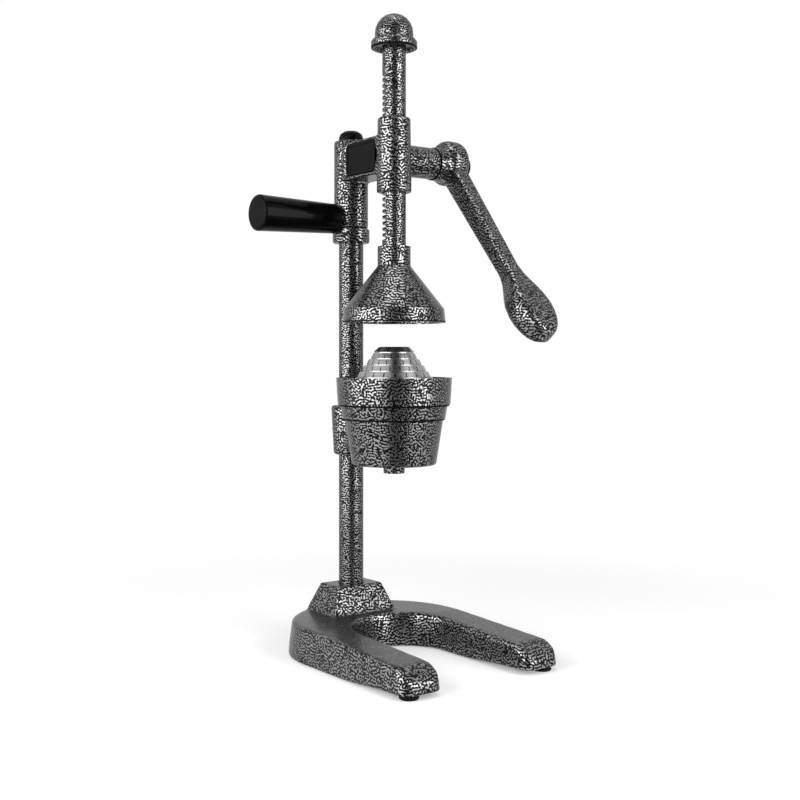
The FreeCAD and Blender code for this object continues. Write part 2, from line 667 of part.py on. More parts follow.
def make_head_trim():
    """The collar under the head, the side plate, the set screws and the shaft bushes."""
    collar = new_body("head_collar")
    outside = "collar_diameter / 2"
    collar_top = "sleeve_bottom - 0.3"
    turned(collar, "collar", [
        (f"{COLUMN_RADIUS} + seat_gap", f"{collar_top} - collar_height"),
        (f"{outside} - collar_edge", f"{collar_top} - collar_height"),
        (outside, f"{collar_top} - collar_height + collar_edge"),
        (outside, f"{collar_top} - collar_edge"),
        (f"{outside} - collar_edge", collar_top),
        (f"{COLUMN_RADIUS} + seat_gap", collar_top),
    ])
    collar_z = "sleeve_bottom - 0.3 - collar_height / 2"
    primitive(collar, "SubtractiveCylinder", "screw_hole",
              {"Radius": "set_screw_radius + seat_gap", "Height": "collar_diameter"},
              ("0", "0", collar_z), TO_REAR)
    place(collar, y="column_y")

    plate = new_body("side_plate")
    primitive(plate, "AdditiveBox", "plate", {
        "Length": "plate_thickness",
        "Width": "plate_length - 2 * plate_gap",
        "Height": "plate_height - 2 * plate_gap",
    })
    rounded(plate, "plate_corners", "plate_corner - plate_gap",
            lambda edge: abs(edge.BoundBox.XLength - number("plate_thickness")) < 0.01)
    rounded(plate, "plate_border", "0.8",
            lambda edge: edge.BoundBox.XMax < 0.01, kind="Chamfer")
    place(plate, "-box_half_width", "column_y - plate_y - plate_length / 2 + plate_gap",
          "pinion_z - plate_height / 2 + plate_gap")

    for name, level, wall in (
        ("head_set_screw", "pinion_z", "sleeve_diameter / 2"),
        ("collar_set_screw", collar_z, "collar_diameter / 2"),
    ):
        screw = new_body(name)
        primitive(screw, "AdditiveCylinder", "screw",
                  {"Radius": "set_screw_radius", "Height": f"{wall} - {COLUMN_RADIUS} - 0.5"},
                  ("0", "0", "0"))
        primitive(screw, "SubtractivePrism", "socket",
                  {"Circumradius": "set_screw_radius / 2", "Height": "3"},
                  ("0", "0", f"{wall} - {COLUMN_RADIUS} - 3"))
        place(screw, "0", f"column_y + {COLUMN_RADIUS} + 0.2", level, TO_REAR)

    for name, start in (
        ("inner_bush", "inner_bush_start"),
        ("outer_bush", "tube_end - bush_inset - bush_length"),
    ):
        bush = new_body(name)
        turned(bush, "bush", [
            ("shaft_radius + running_gap", "0"),
            ("bush_radius", "0"),
            ("bush_radius", "bush_length"),
            ("shaft_radius + running_gap", "bush_length"),
        ])
        place(bush, start, PINION_Y, "pinion_z", TO_LEVER_SIDE)


def make_side_handle():
    """The tapered grip on its stud, along -X."""
    stud = new_body("handle_stud")
    stud_start = f"({COLUMN_RADIUS} + 0.3)"
    primitive(stud, "AdditiveCylinder", "stud",
              {"Radius": "stud_radius", "Height": "stud_length"}, ("0", "0", stud_start))
    grip = new_body("side_handle")
    turned(grip, "grip", [
        ("0", "handle_start"),
        ("handle_inner_diameter / 2", "handle_start"),
        ("handle_outer_diameter / 2", "handle_end"),
        ("0", "handle_end"),
    ])
    rounded(grip, "grip_ends", "handle_round", either(
        ring_at("handle_start"), ring_at("handle_end")))
    primitive(grip, "SubtractiveCylinder", "stud_bore",
              {"Radius": "stud_radius + seat_gap",
               "Height": f"{stud_start} + stud_length + 1 - handle_start + 1"},
              ("0", "0", "handle_start - 1"))
    for body in (stud, grip):
        place(body, "0", "column_y", "handle_z", TO_HANDLE_SIDE)


# Rack, knob and bell
def tooth_gap(body, name, turn, first):
    """One trapezoid gap across the rod's rear, turned about the rod's axis."""
    sketch = new_sketch(body, f"{name}_profile", "YZ_Plane", turn=turn)
    half = f"({PITCH} / 4 + backlash / 2)"
    slope = "tan(pressure_angle)"
    deep = f"({half} - ({RACK_PITCH_PLANE} - rack_root) * {slope})"
    wide = f"({half} + (rack_diameter / 2 + 1 - {RACK_PITCH_PLANE}) * {slope})"
    far = "(rack_diameter / 2 + 1)"
    outline(sketch, [
        ("rack_root", f"{first} - {deep}"),
        (far, f"{first} - {wide}"),
        (far, f"{first} + {wide}"),
        ("rack_root", f"{first} + {deep}"),
    ])
    doc.recompute()
    return pocketed(body, sketch, name, midplane=True)


def make_rack():
    """The round rack rod with its row of tooth gaps."""
    rod = new_body("rack_rod")
    turned(rod, "rod", [
        ("0", "rack_bottom"),
        (RACK_RADIUS, "rack_bottom"),
        (RACK_RADIUS, "rack_top"),
        ("0", "rack_top"),
    ])
    first = f"(pinion_z + rack_gaps_above * {PITCH})"
    gaps = [tooth_gap(rod, "rear_gap", 0, first), tooth_gap(rod, "flank_gap", number("rack_turn"), first)]
    row = rod.newObject("PartDesign::LinearPattern", "gap_row")
    row.Originals = gaps
    row.Direction = (origin_plane(rod, "Z_Axis"), [""])
    row.Reversed = True
    tie(row, "Length", f"(rack_gaps - 1) * {PITCH}")
    tie(row, "Occurrences", "rack_gaps")
    rod.Tip = row
    doc.recompute()
    primitive(rod, "SubtractiveCylinder", "tapped_hole",
              {"Radius": "liner_screw_radius + seat_gap", "Height": "26"},
              ("0", "0", "rack_bottom - 1"))
    place(rod, y=RACK_Y)


def make_knob():
    """The acorn knob with a flange and a recessed underside."""
    knob = new_body("top_knob")
    flange = "knob_flange_diameter / 2"
    flange_top = f"({KNOB_BOTTOM} + knob_flange_height)"
    knob_top = f"({KNOB_BOTTOM} + knob_height)"
    shoulder = f"({knob_top} - knob_dome_radius)"
    turned(knob, "knob", [
        (f"{RACK_RADIUS} + seat_gap", f"{KNOB_BOTTOM} + knob_hollow"),
        (f"{flange} - 5", f"{KNOB_BOTTOM} + knob_hollow"),
        (f"{flange} - 3.5", KNOB_BOTTOM),
        (f"{flange} - 2", KNOB_BOTTOM),
        (flange, f"{KNOB_BOTTOM} + 2.5"),
        (flange, f"{flange_top} - 2.5"),
        (f"{flange} - 1.5", flange_top),
        ("knob_dome_radius + 0.3", flange_top),
        ("knob_dome_radius", f"{flange_top} + 2"),
        ("knob_dome_radius", shoulder),
        ("knob_dome_radius * sin(75)", f"{shoulder} + knob_dome_radius * cos(75)"),
        ("knob_dome_radius * sin(60)", f"{shoulder} + knob_dome_radius * cos(60)"),
        ("knob_dome_radius * sin(45)", f"{shoulder} + knob_dome_radius * cos(45)"),
        ("knob_dome_radius * sin(30)", f"{shoulder} + knob_dome_radius * cos(30)"),
        ("knob_dome_radius * sin(15)", f"{shoulder} + knob_dome_radius * cos(15)"),
        ("0", knob_top),
        ("0", "rack_top + 0.3"),
        (f"{RACK_RADIUS} + seat_gap", "rack_top + 0.3"),
    ])
    place(knob, y=RACK_Y)


def make_bell():
    """The press bell, its pressed liner and the screw that holds both to the rod."""
    bell = new_body("press_bell")
    band_top = "bell_bottom + bell_band"
    turned(bell, "bell", [
        ("bell_radius", "bell_bottom"),
        ("bell_shoulder_radius", band_top),
        ("bell_neck_radius", "bell_neck_bottom"),
        ("bell_neck_radius", "bell_top"),
        ("0", "bell_top"),
        ("0", "bell_roof"),
        ("bell_roof_radius", "bell_roof"),
        ("bell_shoulder_radius - bell_wall", f"{band_top} - 1.5"),
        ("bell_radius - bell_wall", "bell_bottom"),
    ])
    rounded(bell, "bell_rounding", "bell_round", either(
        ring_at(band_top, "bell_shoulder_radius"), ring_at("bell_neck_bottom", "bell_neck_radius")))
    primitive(bell, "SubtractiveCylinder", "rod_socket",
              {"Radius": f"{RACK_RADIUS} + seat_gap", "Height": "bell_top - rack_bottom + 1"},
              ("0", "0", "rack_bottom"))
    primitive(bell, "SubtractiveCylinder", "screw_hole",
              {"Radius": "liner_screw_radius + 0.2", "Height": "rack_bottom"}, ("0", "0", "10"))
    liner = new_body("press_liner")
    inner_roof = "bell_roof - liner_gap"
    low = f"{band_top} - 2"
    turned(liner, "liner", [
        ("liner_screw_radius + 0.2", f"{inner_roof} - liner_wall"),
        ("bell_roof_radius - 1.8 * liner_wall", f"{inner_roof} - liner_wall"),
        ("bell_shoulder_radius - bell_wall - liner_gap - 1.5 * liner_wall", low),
        ("bell_shoulder_radius - bell_wall - 0.7", low),
        ("bell_roof_radius - 0.7", inner_roof),
        ("liner_screw_radius + 0.2", inner_roof),
    ])
    screw = new_body("liner_screw")
    head_top = f"({inner_roof} - liner_wall)"
    turned(screw, "screw", [
        ("0", f"{head_top} - 2.5"),
        ("liner_screw_radius * 1.2", f"{head_top} - 2.5"),
        ("liner_screw_radius * 2", f"{head_top} - 0.8"),
        ("liner_screw_radius * 2", head_top),
        ("liner_screw_radius", head_top),
        ("liner_screw_radius", "rack_bottom + 20"),
        ("0", "rack_bottom + 20"),
    ])
    for body in (bell, liner, screw):
        place(body, y=RACK_Y)


# Cup, strainer and holder
def make_cup():
    """The juice cup with its rim band, ledge and spout."""
    cup = new_body("juice_cup")
    wall = "cup_wall"
    turned(cup, "cup", [
        ("cup_rim_radius", "cup_top"),
        ("cup_band_radius", "cup_seat"),
        ("cup_body_radius", "cup_seat"),
        ("cup_body_radius", "cup_seat - ring_height"),
        ("cup_low_radius", "cup_bottom"),
        ("spout_radius", "cup_bottom"),
        ("spout_radius - 0.5", "spout_bottom"),
        ("spout_bore", "spout_bottom"),
        ("spout_bore", "cup_bottom + cup_floor - 1"),
        (f"cup_low_radius - {wall}", "cup_bottom + cup_floor"),
        (f"cup_body_radius - {wall}", "cup_seat - ring_height"),
        (f"cup_body_radius - {wall}", "cup_step"),
        ("cup_bore", "cup_step"),
        ("cup_bore", "cup_top"),
    ])
    rounded(cup, "cup_lower_edge", "cup_round", ring_at("cup_bottom", "cup_low_radius"))
    place(cup, y=RACK_Y)


def course_radius(height):
    """Radius of the strainer's stepped cone at a height."""
    return f"(strainer_top_radius + (strainer_top - ({height})) * strainer_slope)"


def slot_cutter(body, name, low, high, turn):
    """A box that cuts one upright slot through the strainer's wall, turned about its axis."""
    near = "strainer_top_radius / 2"
    spot = (f"{near} * cos({turn}) + slot_width / 2 * sin({turn})",
            f"{near} * sin({turn}) - slot_width / 2 * cos({turn})", low)
    sizes = {"Length": "strainer_flange - strainer_top_radius / 2 - 3", "Width": "slot_width",
             "Height": f"{high} - ({low})"}
    return primitive(body, "SubtractiveBox", name, sizes, spot, Rotation(Vector(0, 0, 1), number(turn)))


def make_strainer():
    """The pressed strainer: a cone of stepped, slotted courses over a skirt with a flange."""
    strainer = new_body("strainer_cone")
    wall = "strainer_wall"
    courses = int(number("strainer_courses"))
    levels = [f"(strainer_top - strainer_crown - {index} * strainer_course)" for index in range(courses + 1)]
    waist = levels[-1]
    outside = [("0", "strainer_top"), ("strainer_top_radius", "strainer_top")]
    for level in levels[:-1]:
        outside.append((f"{course_radius(level)} - strainer_step", level))
        outside.append((course_radius(level), level))
    foot = f"cup_step + {wall}"
    turned(strainer, "cone", outside + [
        (course_radius(waist), waist),
        ("strainer_low_radius", foot),
        ("strainer_flange", foot),
        ("strainer_flange", "cup_step"),
        (f"strainer_low_radius - {wall}", "cup_step"),
        (f"{course_radius(waist)} - 1.4 * {wall}", waist),
        (f"strainer_top_radius - {wall}", f"strainer_top - {wall}"),
        ("0", f"strainer_top - {wall}"),
    ])
    cutters = []
    spare = "(strainer_course - slot_height) / 2"
    for index, level in enumerate(levels[1:]):
        turn = f"({index % 2} * 180 / strainer_slots)"
        cutters.append(slot_cutter(strainer, f"slot_{index}", f"{level} + {spare}",
                                   f"{level} + {spare} + slot_height", turn))
    middle = f"(({waist} + {foot}) / 2)"
    cutters.append(slot_cutter(strainer, "skirt_slot", f"{middle} - skirt_slot_height / 2",
                               f"{middle} + skirt_slot_height / 2", "0"))
    ring = strainer.newObject("PartDesign::PolarPattern", "slot_rings")
    ring.Originals = cutters
    ring.Axis = (origin_plane(strainer, "Z_Axis"), [""])
    ring.Angle = 360
    tie(ring, "Occurrences", "strainer_slots")
    strainer.Tip = ring
    doc.recompute()
    place(strainer, y=RACK_Y)


def make_holder():
    """The holder: a ring for the cup, a web and a clamp round the column, with its screw."""
    holder = new_body("cup_holder")
    ring_bottom = "(cup_seat - ring_height)"
    primitive(holder, "AdditiveCone", "ring",
              {"Radius1": "ring_low_radius", "Radius2": "ring_radius", "Height": "ring_height"},
              ("0", "-axis_spacing", ring_bottom))
    primitive(holder, "AdditiveCone", "clamp",
              {"Radius1": "clamp_low_radius", "Radius2": "clamp_top_radius", "Height": "clamp_height"},
              ("0", "0", CLAMP_BOTTOM))
    rounded(holder, "clamp_rounding", "clamp_round", either(
        ring_at(CLAMP_TOP, "clamp_top_radius"), ring_at(CLAMP_BOTTOM, "clamp_low_radius")))
    web_bottom = f"({CLAMP_BOTTOM} + arm_rise)"
    primitive(holder, "AdditiveBox", "web",
              {"Length": "arm_width", "Width": "axis_spacing - cup_low_radius",
               "Height": f"{ring_bottom} + ring_height / 2 - {web_bottom}"},
              ("-arm_width / 2", "-axis_spacing + cup_low_radius", web_bottom))
    primitive(holder, "SubtractiveCylinder", "ring_bore",
              {"Radius": "cup_body_radius + ring_gap", "Height": "ring_height + 10"},
              ("0", "-axis_spacing", ring_bottom))
    primitive(holder, "SubtractiveCone", "cup_room",
              {"Radius1": "cup_low_radius + 3 * ring_gap", "Radius2": "cup_body_radius + 3 * ring_gap",
               "Height": f"{ring_bottom} - cup_bottom"},
              ("0", "-axis_spacing", "cup_bottom"))
    primitive(holder, "SubtractiveCylinder", "column_bore",
              {"Radius": f"{COLUMN_RADIUS} + seat_gap", "Height": "clamp_height + 2"},
              ("0", "0", f"{CLAMP_BOTTOM} - 1"))
    middle = f"({CLAMP_TOP} - clamp_height / 2)"
    primitive(holder, "SubtractiveCylinder", "screw_hole",
              {"Radius": "set_screw_radius + seat_gap", "Height": "2 * clamp_top_radius"},
              ("0", "0", middle), TO_REAR)
    place(holder, y="column_y")
    screw = new_body("holder_screw")
    primitive(screw, "AdditiveCylinder", "shank",
              {"Radius": "set_screw_radius", "Height": f"clamp_top_radius - {COLUMN_RADIUS} + 2"})
    primitive(screw, "AdditivePrism", "head",
              {"Circumradius": "set_screw_radius * 1.85", "Height": "screw_head_height"},
              ("0", "0", f"clamp_top_radius - {COLUMN_RADIUS} + 0.2"))
    place(screw, "0", f"column_y + {COLUMN_RADIUS} + 0.2", middle, TO_REAR)


# Pinion shaft and lever
def flank_half(radius):
    """Half the tooth's angle, in degrees, at a radius of the involute flank."""
    base = f"({PITCH_RADIUS} * cos(pressure_angle))"
    angle = f"acos({base} / {radius})"
    at_pitch = "(tan(pressure_angle) * 180 / pi - pressure_angle)"
    here = f"(tan({angle}) * 180 / pi - {angle} / 1deg)"
    return f"((90 / pinion_teeth + {at_pitch} - {here}) * 1deg)"


def make_pinion():
    """The shaft with its involute pinion: one tooth outline, repeated round the axis."""
    shaft = new_body("pinion_shaft")
    turned(shaft, "shaft", [
        ("0", "pinion_start"),
        (ROOT_RADIUS, "pinion_start"),
        (ROOT_RADIUS, "pinion_end"),
        ("shaft_radius", "pinion_end"),
        ("shaft_radius", "shaft_end"),
        ("0", "shaft_end"),
    ])
    tooth = new_sketch(shaft, "tooth_outline", "XY_Plane", "pinion_start")
    stations = [
        f"({PITCH_RADIUS} * cos(pressure_angle) + 0.05)",
        PITCH_RADIUS,
        f"({PITCH_RADIUS} + module / 2)",
        TIP_RADIUS,
    ]
    right = [(f"{r} * sin({flank_half(r)})", f"{r} * cos({flank_half(r)})") for r in stations]
    root_half = f"{flank_half(stations[0])}"
    root = (f"({ROOT_RADIUS} - 1) * sin({root_half})", f"({ROOT_RADIUS} - 1) * cos({root_half})")
    right = [root] + right
    left = [(f"-({x})", y) for x, y in reversed(right)]
    outline(tooth, right + left)
    doc.recompute()
    pad = padded(shaft, tooth, "tooth", "pinion_end - pinion_start")
    ring = shaft.newObject("PartDesign::PolarPattern", "tooth_ring")
    ring.Originals = [pad]
    ring.Axis = (origin_plane(shaft, "Z_Axis"), [""])
    ring.Angle = 360
    tie(ring, "Occurrences", "pinion_teeth")
    shaft.Tip = ring
    doc.recompute()
    primitive(shaft, "SubtractiveCylinder", "tapped_end",
              {"Radius": "lever_bolt_radius + seat_gap", "Height": "22"}, ("0", "0", "shaft_end - 21"))
    place(shaft, "0", PINION_Y, "pinion_z", Rotation(Vector(0, 0, -1), Vector(0, -1, 0), Vector(1, 0, 0), "ZYX"))


def rounded_section(body, name, lift, half_x, half_y, corner, shift="0"):
    """A rectangle with rounded corners on a level plane of the body, beside the arm's middle."""
    sketch = new_sketch(body, name, "XY_Plane", lift)
    a, b, small = number(half_x), number(half_y), number(corner)
    spots = [(a, -b + small, a, b - small), (a - small, b, -a + small, b),
             (-a, b - small, -a, -b + small), (-a + small, -b, a - small, -b)]
    for x1, y1, x2, y2 in spots:
        sketch.addGeometry(Part.LineSegment(Vector(x1, y1, 0), Vector(x2, y2, 0)), False)
    centres = [(a - small, b - small), (-a + small, b - small), (-a + small, -b + small), (a - small, -b + small)]
    for index, (x, y) in enumerate(centres):
        circle = Part.Circle(Vector(x, y, 0), Vector(0, 0, 1), small)
        start = math.radians(90 * index)
        sketch.addGeometry(Part.ArcOfCircle(circle, start, start + math.pi / 2), False)
    for index in range(4):
        sketch.addConstraint(Sketcher.Constraint("Tangent", index, 2, index + 4, 1))
        sketch.addConstraint(Sketcher.Constraint("Tangent", index + 4, 2, (index + 1) % 4, 1))
        sketch.addConstraint(Sketcher.Constraint("Horizontal" if index % 2 else "Vertical", index))
    constrain(sketch, "Radius", (4,), corner)
    for index in (5, 6):
        sketch.addConstraint(Sketcher.Constraint("Equal", 4, index))
    constrain(sketch, "DistanceX", (-1, 1, 0, 1), half_x)
    constrain(sketch, "DistanceX", (2, 1, -1, 1), half_x)
    constrain(sketch, "DistanceY", (-1, 1, 1, 1), half_y)
    constrain(sketch, "DistanceY", (3, 1, -1, 1), half_y)
    tie(sketch, "AttachmentOffset.Base.x", f"arm_x + {shift}")
    return sketch


def lofted(body, name, sketches, ruled):
    """A loft through sections, straight between them or smooth."""
    doc.recompute()
    loft = body.newObject("PartDesign::AdditiveLoft", name)
    loft.Profile = sketches[0]
    loft.Sections = sketches[1:]
    loft.Ruled = ruled
    doc.recompute()
    return loft


def make_lever():
    """The lever: collar and knuckle, a straight square-edged arm and a flattened paddle."""
    lever = new_body("lever")
    knuckle_start = "(hub_start + collar_length)"
    primitive(lever, "AdditiveCylinder", "knuckle",
              {"Radius": "hub_radius", "Height": f"hub_end - {knuckle_start}"},
              (knuckle_start, "0", "hub_rise"), TO_LEVER_SIDE)

    def knuckle_rim(edge):
        return isinstance(edge.Curve, Part.Circle) and edge.BoundBox.XLength < 0.01

    rounded(lever, "knuckle_rounding", "hub_round", knuckle_rim)
    primitive(lever, "AdditiveCone", "collar",
              {"Radius1": "collar_start_radius", "Radius2": "collar_end_radius",
               "Height": "collar_length + hub_round"},
              ("hub_start", "0", "0"), TO_LEVER_SIDE)
    arm = [
        rounded_section(lever, "arm_top", "-hub_radius / 3", "arm_half_width", "arm_half_depth", "arm_corner"),
        rounded_section(lever, "arm_low", "-arm_neck", "neck_half_width", "neck_half_depth", "arm_corner"),
    ]
    lofted(lever, "arm", arm, True)
    inner, outer = 4, 5
    paddle = []
    for index in range(inner + outer + 1):
        if index <= inner:
            reach = f"(arm_neck + {index} / {inner} * (paddle_centre - arm_neck))"
            swell = f"((1 - cos({index} / {inner} * 180)) / 2)"
            wide = f"(neck_half_width + {swell} * (paddle_half_width - neck_half_width))"
            deep = f"(neck_half_depth + {swell} * (paddle_half_depth - neck_half_depth))"
            corner = f"(arm_corner + {swell} * (0.7 * paddle_half_depth - arm_corner))"
            shift = f"{swell} * paddle_shift"
        else:
            turn = f"({index - inner} / {outer} * 78)"
            reach = f"(paddle_centre + paddle_half_length * sin({turn}))"
            wide = f"(paddle_half_width * cos({turn}))"
            deep = f"(paddle_half_depth * sqrt(cos({turn})))"
            corner = f"(0.7 * paddle_half_depth * cos({turn}))"
            shift = "paddle_shift"
        paddle.append(rounded_section(lever, f"paddle_{index}", f"-{reach}", wide, deep, corner, shift))
    lofted(lever, "paddle", paddle, True)
    primitive(lever, "SubtractiveCylinder", "shaft_bore",
              {"Radius": "shaft_radius + seat_gap", "Height": "shaft_end + 0.3"},
              ("0", "0", "0"), TO_LEVER_SIDE)
    primitive(lever, "SubtractiveCylinder", "bolt_hole",
              {"Radius": "lever_bolt_radius + 0.3", "Height": "20"},
              ("shaft_end - 1", "0", "0"), TO_LEVER_SIDE)
    primitive(lever, "SubtractiveCylinder", "pocket",
              {"Radius": "lever_pocket_radius", "Height": "20"},
              ("shaft_end + 3", "0", "0"), TO_LEVER_SIDE)
    tilt = Placement(Vector(), Rotation(Vector(-1, 0, 0), number("lever_angle")))
    lever.Placement = tilt
    place(lever, "0", PINION_Y, "pinion_z")
    tie(lever, "Placement.Rotation.Angle", "lever_angle")

    seat = "(shaft_end + 3)"
    washer = new_body("lever_washer")
    turned(washer, "washer", [
        ("lever_bolt_radius + 0.3", seat),
        ("lever_pocket_radius - 1.5", seat),
        ("lever_pocket_radius - 1.5", f"{seat} + 1.6"),
        ("lever_bolt_radius + 0.3", f"{seat} + 1.6"),
    ])
    bolt = new_body("lever_bolt")
    primitive(bolt, "AdditivePrism", "head",
              {"Circumradius": "lever_bolt_radius * 1.8", "Height": "screw_head_height"}, ("0", "0", f"{seat} + 1.6"))
    primitive(bolt, "AdditiveCylinder", "shank",
              {"Radius": "lever_bolt_radius", "Height": "20"}, ("0", "0", f"{seat} + 1.7 - 20"))
    cap = new_body("lever_cap")
    turned(cap, "cap", [
        ("lever_pocket_radius - 2", f"{seat} + 8"),
        ("lever_pocket_radius - 0.1", f"{seat} + 8"),
        ("lever_pocket_radius - 0.1", "hub_end + 0.1"),
        ("cap_radius", "hub_end + 0.1"),
        ("cap_radius", "hub_end + 4"),
        ("cap_radius * 0.85", "cap_end - 3"),
        ("cap_radius * 0.5", "cap_end - 0.7"),
        ("0", "cap_end"),
        ("0", "cap_end - 3"),
        ("lever_pocket_radius - 2", "hub_end"),
    ])
    for body in (washer, bolt, cap):
        place(body, "0", PINION_Y, "pinion_z", TO_LEVER_SIDE)


def check_and_write():
    """Stop on any failed object, then write each part to its own file."""
    doc.recompute()
    for thing in doc.Objects:
        if "Invalid" in thing.State or "Error" in thing.State:
            raise RuntimeError(f"{thing.Name} failed: {thing.State}")
    os.makedirs("parts", exist_ok=True)
    for part in parts:
        shape = part.Shape
        if shape.isNull() or not shape.isValid():
            raise RuntimeError(f"{part.Label} has no valid shape")
        shape.exportStep(f"parts/{part.Label}.step")
        box = shape.BoundBox
        print(f"{part.Label:18s} solids {len(shape.Solids)} volume {shape.Volume:10.0f}",
              f"x {box.XMin:7.1f} {box.XMax:7.1f} y {box.YMin:7.1f} {box.YMax:7.1f}",
              f"z {box.ZMin:7.1f} {box.ZMax:7.1f}")


if __name__ == "__main__":
    make_base()
    make_feet()
    make_column()
    make_head()
    make_head_trim()
    make_side_handle()
    make_rack()
    make_knob()
    make_bell()
    make_cup()
    make_strainer()
    make_holder()
    make_pinion()
    make_lever()
    check_and_write()
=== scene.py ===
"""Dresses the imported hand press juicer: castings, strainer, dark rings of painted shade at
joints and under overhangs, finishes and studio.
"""

from __future__ import annotations

import logging
import math
from collections.abc import Collection
from dataclasses import dataclass, field
from enum import Enum

import bmesh
import bpy
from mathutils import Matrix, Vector

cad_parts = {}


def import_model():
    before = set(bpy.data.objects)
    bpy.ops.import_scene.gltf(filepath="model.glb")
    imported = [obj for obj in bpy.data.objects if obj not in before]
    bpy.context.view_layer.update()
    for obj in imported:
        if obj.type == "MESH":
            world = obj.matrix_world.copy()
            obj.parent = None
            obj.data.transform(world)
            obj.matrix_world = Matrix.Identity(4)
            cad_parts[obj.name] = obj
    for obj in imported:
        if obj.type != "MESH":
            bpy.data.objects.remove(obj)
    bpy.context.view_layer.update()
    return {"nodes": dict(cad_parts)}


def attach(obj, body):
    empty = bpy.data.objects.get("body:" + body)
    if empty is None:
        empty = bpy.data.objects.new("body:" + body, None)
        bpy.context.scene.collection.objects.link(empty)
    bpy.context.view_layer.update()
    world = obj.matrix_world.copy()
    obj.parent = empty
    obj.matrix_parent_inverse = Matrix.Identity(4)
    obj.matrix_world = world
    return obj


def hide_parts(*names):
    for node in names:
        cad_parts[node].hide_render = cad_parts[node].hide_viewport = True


LOG = logging.getLogger("juicer")

# Where the values of a noise, and of two noises multiplied, mostly lie.
NOISE_SPAN = (0.3, 0.7)
RING_SPAN = (0.1, 0.4)

# How far one pass of softening moves a point towards its neighbours' middle.
SMOOTHING = 0.5


class Rides(Enum):
    """The moving bodies of the juicer."""

    STAND = "stand"
    LEVER = "lever"
    RACK = "rack"


class Slot(Enum):
    """The finishes that the imported solids' materials name."""

    HAMMERTONE = "hammertone"
    RUBBER = "rubber"
    STEEL = "steel"
    BRONZE = "bronze"
    POLISHED = "polished_steel"
    PLASTIC = "black_plastic"
    GRIP = "gloss_grip"


@dataclass(frozen=True)
class Axes:
    """The working axes of the juicer, in metres."""

    rack_y: float = 0.0135
    pinion_y: float = 0.0383
    pinion_z: float = 0.527


AXES = Axes()


def ramp(value: float, start: float, end: float) -> float:
    """How far a value has come from start to end, from 0 to 1."""
    return min(max((value - start) / (end - start), 0.0), 1.0)


def ease(value: float, start: float, end: float) -> float:
    """A ramp that starts and ends gently."""
    share = ramp(value, start, end)
    return share * share * (3 - 2 * share)


class NodeBoard:
    """A node tree being laid out, with short ways to add and join its nodes."""

    def __init__(self, tree: bpy.types.NodeTree) -> None:
        """Take a tree and empty it."""
        self.tree = tree
        tree.nodes.clear()

    def feed(self, node: bpy.types.Node, feeds: dict) -> None:
        """Link or set inputs of a node.

        Args:
            node: the node to feed.
            feeds: socket name or index, with a plain value or the output that feeds it.
        """
        for name, value in feeds.items():
            if isinstance(value, bpy.types.NodeSocket):
                self.tree.links.new(value, node.inputs[name])
            else:
                node.inputs[name].default_value = value

    def add(self, kind: str, feeds: dict | None = None, **settings: object) -> bpy.types.Node:
        """Add a node.

        Args:
            kind: the node's type name, without the ShaderNode prefix.
            feeds: what goes into its sockets.
            settings: properties of the node.

        Returns:
            The new node.
        """
        prefix = "" if kind.startswith("Node") else "ShaderNode"
        node = self.tree.nodes.new(prefix + kind)
        for name, value in settings.items():
            setattr(node, name, value)
        self.feed(node, feeds or {})
        return node

    def math(self, operation: str, first: object, second: object = 0.0) -> bpy.types.NodeSocket:
        """The output of a math node on two values or sockets."""
        return self.add("Math", {0: first, 1: second}, operation=operation).outputs[0]

    def remap(self, value: object, low: object, high: object,
              to_low: float = 0.0, to_high: float = 1.0) -> bpy.types.NodeSocket:
        """The output of a smooth map from one range to another."""
        feeds = {"Value": value, "From Min": low, "From Max": high,
                 "To Min": to_low, "To Max": to_high}
        return self.add("MapRange", feeds, interpolation_type="SMOOTHSTEP").outputs[0]

    def blend(self, factor: object, dark: object, light: object) -> bpy.types.NodeSocket:
        """The colour output of a mix of two colours."""
        return self.add("Mix", {0: factor, 6: dark, 7: light}, data_type="RGBA").outputs[2]


def board_of(owner: bpy.types.Material | bpy.types.World) -> NodeBoard:
    """The empty node tree of a new material or world."""
    owner.use_nodes = True
    return NodeBoard(owner.node_tree)


def grey(level: float, warm: float = 0.0) -> tuple[float, float, float, float]:
    """A nearly neutral colour of a level, with a little warmth."""
    return (level * (1 + warm), level, level * (1 - warm), 1.0)


class EffectGroup:
    """A shader node group with named inputs and outputs, built once."""

    name = "effect"
    inputs: dict[str, float] = {}
    outputs: tuple[str, ...] = ()

    @classmethod
    def tree(cls) -> bpy.types.NodeTree:
        """The group's tree, made on first use.

        Returns:
            The node tree with its sockets and nodes.
        """
        found = bpy.data.node_groups.get(cls.name)
        if found:
            return found
        made = bpy.data.node_groups.new(cls.name, "ShaderNodeTree")
        for label, value in cls.inputs.items():
            socket = made.interface.new_socket(label, in_out="INPUT",
                                               socket_type="NodeSocketFloat")
            socket.default_value = value
        for label in cls.outputs:
            made.interface.new_socket(label, in_out="OUTPUT", socket_type="NodeSocketFloat")
        board = NodeBoard(made)
        source = board.add("NodeGroupInput")
        sink = board.add("NodeGroupOutput")
        board.feed(sink, cls.draw(board, source))
        return made

    @classmethod
    def draw(cls, board: NodeBoard, source: bpy.types.Node) -> dict[str, bpy.types.NodeSocket]:
        """Lay out the group's nodes.

        Args:
            board: the group's own tree.
            source: the node with the group's inputs.

        Returns:
            The socket that feeds each output.
        """
        raise NotImplementedError

    @classmethod
    def place(cls, board: NodeBoard, values: dict[str, float]) -> bpy.types.Node:
        """Put the group in a material's tree with its own values."""
        return board.add("Group", values, node_tree=cls.tree())


